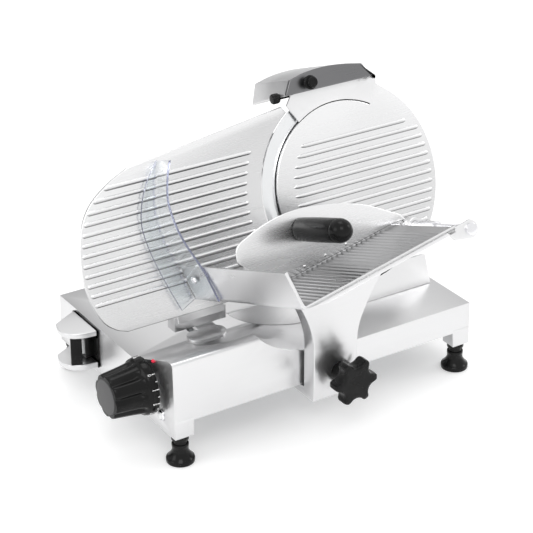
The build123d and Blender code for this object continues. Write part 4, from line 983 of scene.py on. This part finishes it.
def lamp():
    """The pilot lamp: a bright stepped bezel and a milky dome."""
    bezel = [(0.0046, 0.0016), (0.0050, 0.0022), (0.0062, 0.0020), (0.0072, 0.0012), (0.0075, 0.0004),
        (0.0075, 0.0001),
             (0.0051, 0.0001), (0.0051, -0.0048), (0.0046, -0.0048)]
    turn = np.linspace(0, 2 * pi, 60, endpoint=False)
    rings = [plain(np.full(60, -h), 0.0314 + r * np.cos(turn), 0.056 + r * np.sin(turn)) for r, h in bezel]
    piece("lamp_ring", [outward(grid(np.stack(rings), wrap_u=True, wrap_v=True))], MATS["polished_steel"],
    "base",
          ["lamp_bezel"], 35)
    dome = [(0.0001, -0.0055), (0.0045, -0.0055), (0.0045, 0.0020)]
    dome += [(0.0001 + 0.0044 * cos(t), 0.0020 + 0.0024 * sin(t)) for t in np.linspace(0.1, pi / 2, 8)]
    return piece("lamp_dome", [lathe(dome, plain(0, 0.0314, 0.056), (-1, 0, 0), 48)], MATS["white_plastic"],
        "base",
                 ["pilot_lamp"], 40)


def cross_screw(centre, axis, radius=0.0042, height=0.0018):
    """A domed screw head with a cross recess pressed into it."""
    axis = np.asarray(axis, float)
    side = np.array([1.0, 0, 0]) if abs(axis[0]) < 0.9 else np.array([0, 0, 1.0])
    side = side - axis * side.dot(axis)
    side /= np.linalg.norm(side)
    other = np.cross(axis, side)
    turn = np.linspace(0, 2 * pi, 64, endpoint=False)
    rings = []
    for r, h in ((0.0001, -0.0008), (1.0, -0.0008), (1.0, 0.15), (0.93, 0.5), (0.75, 0.82), (0.6, 0.93),
        (0.45, 0.98),
                 (0.3, 1.0), (0.15, 1.0), (0.02, 1.0)):
        rr = r * radius if r > 0.001 else 0.0001
        cross = np.minimum(np.abs(rr * np.sin(turn)), np.abs(rr * np.cos(turn)))
        sunk = (cross < 0.0006) & (rr < 0.0030)
        hh = (h * height if h > 0 else h) - np.where(sunk & (h > 0.9), 0.0009, 0.0)
        rings.append(centre + rr * (np.cos(turn)[:, None] * side + np.sin(turn)[:, None] * other)
                     + np.broadcast_to(hh, (64,))[:, None] * axis)
    return outward(grid(np.stack(rings), wrap_v=True))


def rods():
    """The pusher rod with its rounded nuts, and the bright sleeve that slides on it."""
    rod = [tube([lean(*PUSHER_ROD, n) for n in (0.005, 0.09, 0.17, 0.246)], 0.005, 32)]
    for low in (0.0040, 0.2461):
        rod.append(lathe([(0.0001, 0), (0.0066, 0), (0.0074, 0.0006), (0.0075, 0.0016), (0.0070, 0.0031),
                          (0.0050, 0.0039), (0.0001, 0.0039)], lean(*PUSHER_ROD, low), OUT, 40))
    piece("pusher_rod_bright", rod, MATS["polished_steel"], "carriage", ["pusher_rod"], 35)
    turn = np.linspace(0, 2 * pi, 64, endpoint=False)
    profile = [(0.0051, 0.1185), (0.0078, 0.1180), (0.0085, 0.1187), (0.0085, 0.1480), (0.0081, 0.1484),
               (0.0081, 0.1492), (0.0085, 0.1496), (0.0085, 0.1793), (0.0078, 0.1800), (0.0051, 0.1795)]
    rings = [lean(PUSHER_ROD[0] + r * np.cos(turn), PUSHER_ROD[1] + r * np.sin(turn),
                  np.full(64, n)) for r, n in profile]
    return piece("pusher_sleeve_bright", [outward(grid(np.stack(rings), wrap_u=True, wrap_v=True))],
                 MATS["polished_steel"], "pusher_slide", ["pusher_sleeve"], 35)


def small_fittings():
    """A screw head on the guard, and the red index lens by the dial."""
    flange = np.array([-cos(FLANGE_LEAN), -sin(FLANGE_LEAN)])
    axis = flange[0] * np.array([1.0, 0, 0]) + flange[1] * UP
    piece("guard_screw_head", [cross_screw(lean(0.0745, 0.0745, 0.031), axis, 0.0046, 0.0022)],
          MATS["polished_steel"], "carriage", ["guard_screw"], 40)
    lens = [(0.0001, 0.0), (0.0021, 0.0), (0.0021, 0.0016), (0.0016, 0.0026), (0.0001, 0.0030)]
    return piece("index_lens", [lathe(lens, plain(0, 0.047, 0.1225), (-1, 0, 0), 32)], MATS["red_plastic"],
        "base",
                 ["index_mark"], 40)


def keys():
    """The two switch keys: a white rocker face and a round black mushroom."""
    start = rounded([(0.2015, 0.0615), (0.2145, 0.0615), (0.2145, 0.0835), (0.2015, 0.0835)], 0.0016)
    piece("start_key_face", [slab(start, lambda a, b, c: plain(-c, a, b), 0.0100, 0.0150, 0.0012, 4)],
          MATS["white_plastic"], "start_key", ["start_button"], 40)
    cap = [(0.0001, 0.0100), (0.0060, 0.0100), (0.0062, 0.0130), (0.0065, 0.0140), (0.0065, 0.0165),
        (0.0058, 0.0178),
           (0.0001, 0.0180)]
    return piece("stop_key_face", [lathe(cap, plain(0, 0.224, 0.0715), (-1, 0, 0), 48)], MATS["black_plastic"],
                 "stop_key", ["stop_button"], 40)


# ---------------------------------------------------------------- stage
def stage():
    """Pale floor, soft studio lights and a camera at the machine's usual three-quarter view."""
    s = bpy.context.scene.slicer_stage
    scene = bpy.context.scene
    turn = np.linspace(0, 2 * pi, 96, endpoint=False)
    circle = np.stack([np.cos(turn), np.sin(turn), np.zeros(96)], axis=1)
    rings = [circle * r - [0, 0, 0.0001] for r in (0.02, 1.5, 6.0, 14.0)]
    floor_mesh = bpy.data.meshes.new("floor")
    verts, faces = grid(np.stack(rings), wrap_v=True)
    floor_mesh.from_pydata(verts.tolist(), [], faces[:-1])
    floor_mesh.update()
    floor = bpy.data.objects.new("floor", floor_mesh)
    scene.collection.objects.link(floor)
    if floor_mesh.polygons[0].normal.z < 0:
        floor_mesh.flip_normals()
    f = Finish("floor_paper")
    mottled = f.noise(3.0, 2.0)
    f.set(Base_Color=f.mix(f.ramp(mottled, 0, 1), (0.80, 0.80, 0.80, 1), (0.82, 0.82, 0.82, 1)),
          Roughness=f.ramp(mottled, 0.6, 0.7), Specular_IOR_Level=0.1, Emission_Color=(1.0, 1.0, 1.0, 1.0),
          Emission_Strength=s.floor_glow)
    floor_mesh.materials.append(f.mat)
    world = bpy.data.worlds.new("studio")
    scene.world = world
    world.use_nodes = True
    t = world.node_tree
    back = t.nodes["Background"]
    back.inputs["Strength"].default_value = s.ambient
    way = t.nodes.new("ShaderNodeSeparateXYZ")
    t.links.new(t.nodes.new("ShaderNodeTexCoord").outputs["Generated"], way.inputs[0])
    spans = []
    for axis, low, high in (("Y", 0.15, 0.75), ("Z", 0.42, 0.1)):
        n = t.nodes.new("ShaderNodeMapRange")
        n.interpolation_type = "SMOOTHSTEP"
        t.links.new(way.outputs[axis], n.inputs["Value"])
        n.inputs["From Min"].default_value = low
        n.inputs["From Max"].default_value = high
        spans.append(n.outputs[0])
    both = t.nodes.new("ShaderNodeMath")
    both.operation = "MULTIPLY"
    t.links.new(spans[0], both.inputs[0])
    t.links.new(spans[1], both.inputs[1])
    tone = t.nodes.new("ShaderNodeMix")
    tone.data_type = "RGBA"
    t.links.new(both.outputs[0], tone.inputs[0])
    tone.inputs[6].default_value = (1.0, 1.0, 1.0, 1.0)
    tone.inputs[7].default_value = (0.16, 0.16, 0.165, 1.0)
    t.links.new(tone.outputs[2], back.inputs["Color"])

    def light(name, place, aim, size, power):
        """A square soft box at a place, aimed at a point."""
        data = bpy.data.lights.new(name, "AREA")
        data.shape = "SQUARE"
        data.size = size
        data.energy = power
        obj = bpy.data.objects.new(name, data)
        obj.location = place
        obj.rotation_euler = (Vector(aim) - Vector(place)).to_track_quat("-Z", "Y").to_euler()
        scene.collection.objects.link(obj)
    light("key", (-0.9, -1.4, 2.2), (0, 0, 0.15), 1.1, 12 * s.light)
    light("side", (-2.2, 0.2, 1.2), (0, 0, 0.2), 1.0, 6 * s.light)
    light("right", (2.0, -0.6, 1.4), (0, 0, 0.2), 0.7, 5 * s.light)
    light("top", (0.2, 0.6, 2.4), (0, 0, 0.1), 1.0, 7 * s.light)
    cam = bpy.data.cameras.new("view")
    cam.lens = 124.28
    cam.sensor_width = 36
    cam.clip_end = 50
    obj = bpy.data.objects.new("view", cam)
    obj.location = (LEFT - 0.9020, FRONT - 1.5967, 1.1972)
    obj.rotation_euler = (radians(63.05), 0.0, radians(-32.8))
    scene.collection.objects.link(obj)
    scene.camera = obj
    scene.view_settings.view_transform = "Standard"
    scene.view_settings.exposure = s.exposure
    return floor


CARRIED = {
    "base_casting": "cast_aluminium", "blade_housing": "housing_aluminium", "carriage_arm": "cast_aluminium",
    "motor_cover": "cast_aluminium", "gauge_bracket": "cast_aluminium", "slice_deflector": "brushed_aluminium",
    "base_plate": "zinc_sheet", "blade_flange": "plain_steel", "blade_screws": "plain_steel",
    "blade_shaft": "plain_steel", "blade_bearings": "plain_steel", "blade_pulley": "black_plastic",
    "motor_pulley": "plain_steel", "drive_belt": "black_rubber", "motor_shaft": "plain_steel",
    "motor_body": "motor_paint", "motor_fan": "black_plastic", "cover_tie_screw": "plain_steel",
    "foot_studs": "plain_steel", "sharpener_base": "housing_aluminium", "grinding_stone": "abrasive",
    "deburring_stone": "abrasive", "gauge_slide": "plain_steel", "gauge_rod": "polished_steel",
    "knob_spindle": "plain_steel", "switch_body": "black_plastic", "cable_gland": "black_plastic",
    "control_board": "board", "guide_rod": "polished_steel", "guide_bar": "plain_steel",
    "carriage_slider": "cast_aluminium", "slider_bushes": "bronze", "guide_shoe": "white_plastic",
}
SOFT_EDGES = {
    "base_casting": 0.0022, "carriage_arm": 0.0012, "motor_cover": 0.0010, "blade_housing": 0.0008,
    "gauge_bracket": 0.0006, "slice_deflector": 0.0003, "sharpener_base": 0.0003, "switch_body": 0.0005,
    "carriage_slider": 0.0006, "cable_gland": 0.0004,
}


# ---------------------------------------------------------------- add-on
class LookSettings(bpy.types.PropertyGroup):
    """Colours and roughness of the main finishes"""
    casting_colour: bpy.props.FloatVectorProperty(
        name="Casting colour", description="Colour of the cast aluminium", subtype="COLOR", size=3,
        default=(0.73, 0.73, 0.735), min=0, max=1)
    casting_roughness: bpy.props.FloatProperty(
        name="Casting roughness", description="How satin the casting is", subtype="FACTOR", default=0.32,
            min=0, max=1)
    sheet_colour: bpy.props.FloatVectorProperty(
        name="Sheet colour", description="Colour of the brushed sheet metal", subtype="COLOR", size=3,
        default=(0.90, 0.90, 0.905), min=0, max=1)
    sheet_roughness: bpy.props.FloatProperty(
        name="Sheet roughness", description="How satin the brushed sheet is", subtype="FACTOR", default=0.27,
        min=0, max=1)
    plastic_colour: bpy.props.FloatVectorProperty(
        name="Plastic colour", description="Colour of the knobs and the handle", subtype="COLOR", size=3,
        default=(0.006, 0.006, 0.006), min=0, max=1)


class StageSettings(bpy.types.PropertyGroup):
    """Strength of the studio's light"""
    ambient: bpy.props.FloatProperty(
        name="Ambient", description="Strength of the white surround", default=1.0, min=0, max=5)
    floor_glow: bpy.props.FloatProperty(
        name="Floor glow", description="How much the floor lightens its own shadows", default=0.28, min=0,
            max=2)
    light: bpy.props.FloatProperty(
        name="Lights", description="Multiplier for the soft boxes", default=1.0, min=0, max=10)
    exposure: bpy.props.FloatProperty(
        name="Exposure", description="Exposure in stops", default=0.0, min=-5, max=5)


class SLICER_OT_finishes(bpy.types.Operator):
    """Make the finishes and give every carried-over piece its own"""
    bl_idname = "slicer.finishes"
    bl_label = "Finishes"

    def execute(self, context):
        MATS.update(finishes())
        for node, name in CARRIED.items():
            coat(node, name)
        for node, width in SOFT_EDGES.items():
            bevelled(node, width)
        return {"FINISHED"}


class SLICER_OT_gauge(bpy.types.Operator):
    """Build the ribbed gauge plate"""
    bl_idname = "slicer.gauge"
    bl_label = "Gauge plate"

    def execute(self, context):
        gauge_plate()
        return {"FINISHED"}


class SLICER_OT_blade(bpy.types.Operator):
    """Build the blade and its ribbed cover"""
    bl_idname = "slicer.blade"
    bl_label = "Blade and cover"

    def execute(self, context):
        blade_disc()
        blade_cover()
        return {"FINISHED"}


class SLICER_OT_tray(bpy.types.Operator):
    """Build the product tray"""
    bl_idname = "slicer.tray"
    bl_label = "Tray"

    def execute(self, context):
        tray()
        return {"FINISHED"}


class SLICER_OT_pusher(bpy.types.Operator):
    """Build the pusher's plate, grip, rod and sleeve"""
    bl_idname = "slicer.pusher"
    bl_label = "Pusher"

    def execute(self, context):
        pusher_plate()
        handle()
        rods()
        return {"FINISHED"}


class SLICER_OT_guard(bpy.types.Operator):
    """Build the clear hand guard"""
    bl_idname = "slicer.guard"
    bl_label = "Hand guard"

    def execute(self, context):
        hand_guard()
        return {"FINISHED"}


class SLICER_OT_knobs(bpy.types.Operator):
    """Build the thickness dial, the star knob and the feet"""
    bl_idname = "slicer.knobs"
    bl_label = "Knobs and feet"

    def execute(self, context):
        dial()
        star_knob()
        feet()
        return {"FINISHED"}


class SLICER_OT_sharpener(bpy.types.Operator):
    """Build the sharpener's body, panel and knobs"""
    bl_idname = "slicer.sharpener"
    bl_label = "Sharpener"

    def execute(self, context):
        sharpener()
        plunger("grinding_push", 0.291, 0.270, 0.0205, 1, (0.001, 0.0014, 0.0093), "grinding_plunger",
        "grinding_rod")
        plunger("deburring_push", 0.345, 0.2706, -0.0805, -1, (-0.018, -0.0276, -0.0197), "deburring_plunger",
                "deburring_rod")
        clamp_knob()
        return {"FINISHED"}


class SLICER_OT_fittings(bpy.types.Operator):
    """Build the switch guard, keys, lamp, screw and index"""
    bl_idname = "slicer.fittings"
    bl_label = "Switch, lamp and small fittings"

    def execute(self, context):
        switch_guard()
        keys()
        lamp()
        small_fittings()
        return {"FINISHED"}


class SLICER_OT_stage(bpy.types.Operator):
    """Add the floor, lights and camera"""
    bl_idname = "slicer.stage"
    bl_label = "Stage"

    def execute(self, context):
        stage()
        return {"FINISHED"}


STEPS = (
    SLICER_OT_finishes, SLICER_OT_gauge, SLICER_OT_blade, SLICER_OT_tray, SLICER_OT_pusher, SLICER_OT_guard,
    SLICER_OT_knobs, SLICER_OT_sharpener, SLICER_OT_fittings, SLICER_OT_stage,
)


class SLICER_PT_panel(bpy.types.Panel):
    """Lists the slicer's settings and its build steps"""
    bl_label = "Deli Slicer"
    bl_idname = "SLICER_PT_panel"
    bl_space_type = "VIEW_3D"
    bl_region_type = "UI"
    bl_category = "Slicer"

    def draw(self, context):
        for group in (context.scene.slicer_look, context.scene.slicer_stage):
            for key in group.__annotations__:
                self.layout.prop(group, key)
        for step in STEPS:
            self.layout.operator(step.bl_idname)


CLASSES = (LookSettings, StageSettings) + STEPS + (SLICER_PT_panel,)


def register():
    """Adds the classes and the scene's settings."""
    for c in CLASSES:
        bpy.utils.register_class(c)
    bpy.types.Scene.slicer_look = bpy.props.PointerProperty(type=LookSettings)
    bpy.types.Scene.slicer_stage = bpy.props.PointerProperty(type=StageSettings)


def unregister():
    """Takes them away again, in the opposite order."""
    del bpy.types.Scene.slicer_stage
    del bpy.types.Scene.slicer_look
    for c in reversed(CLASSES):
        bpy.utils.unregister_class(c)


def main():
    """Builds the slicer and its stage."""
    for extra in ("Cube", "Light", "Camera"):
        if extra in bpy.data.objects:
            bpy.data.objects.remove(bpy.data.objects[extra])
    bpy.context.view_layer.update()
    register()
    for step in STEPS:
        group, name = step.bl_idname.split(".")
        result = getattr(getattr(bpy.ops, group), name)()
        if "FINISHED" not in result:
            raise RuntimeError(step.bl_idname)


if __name__ == "__main__":
    main()
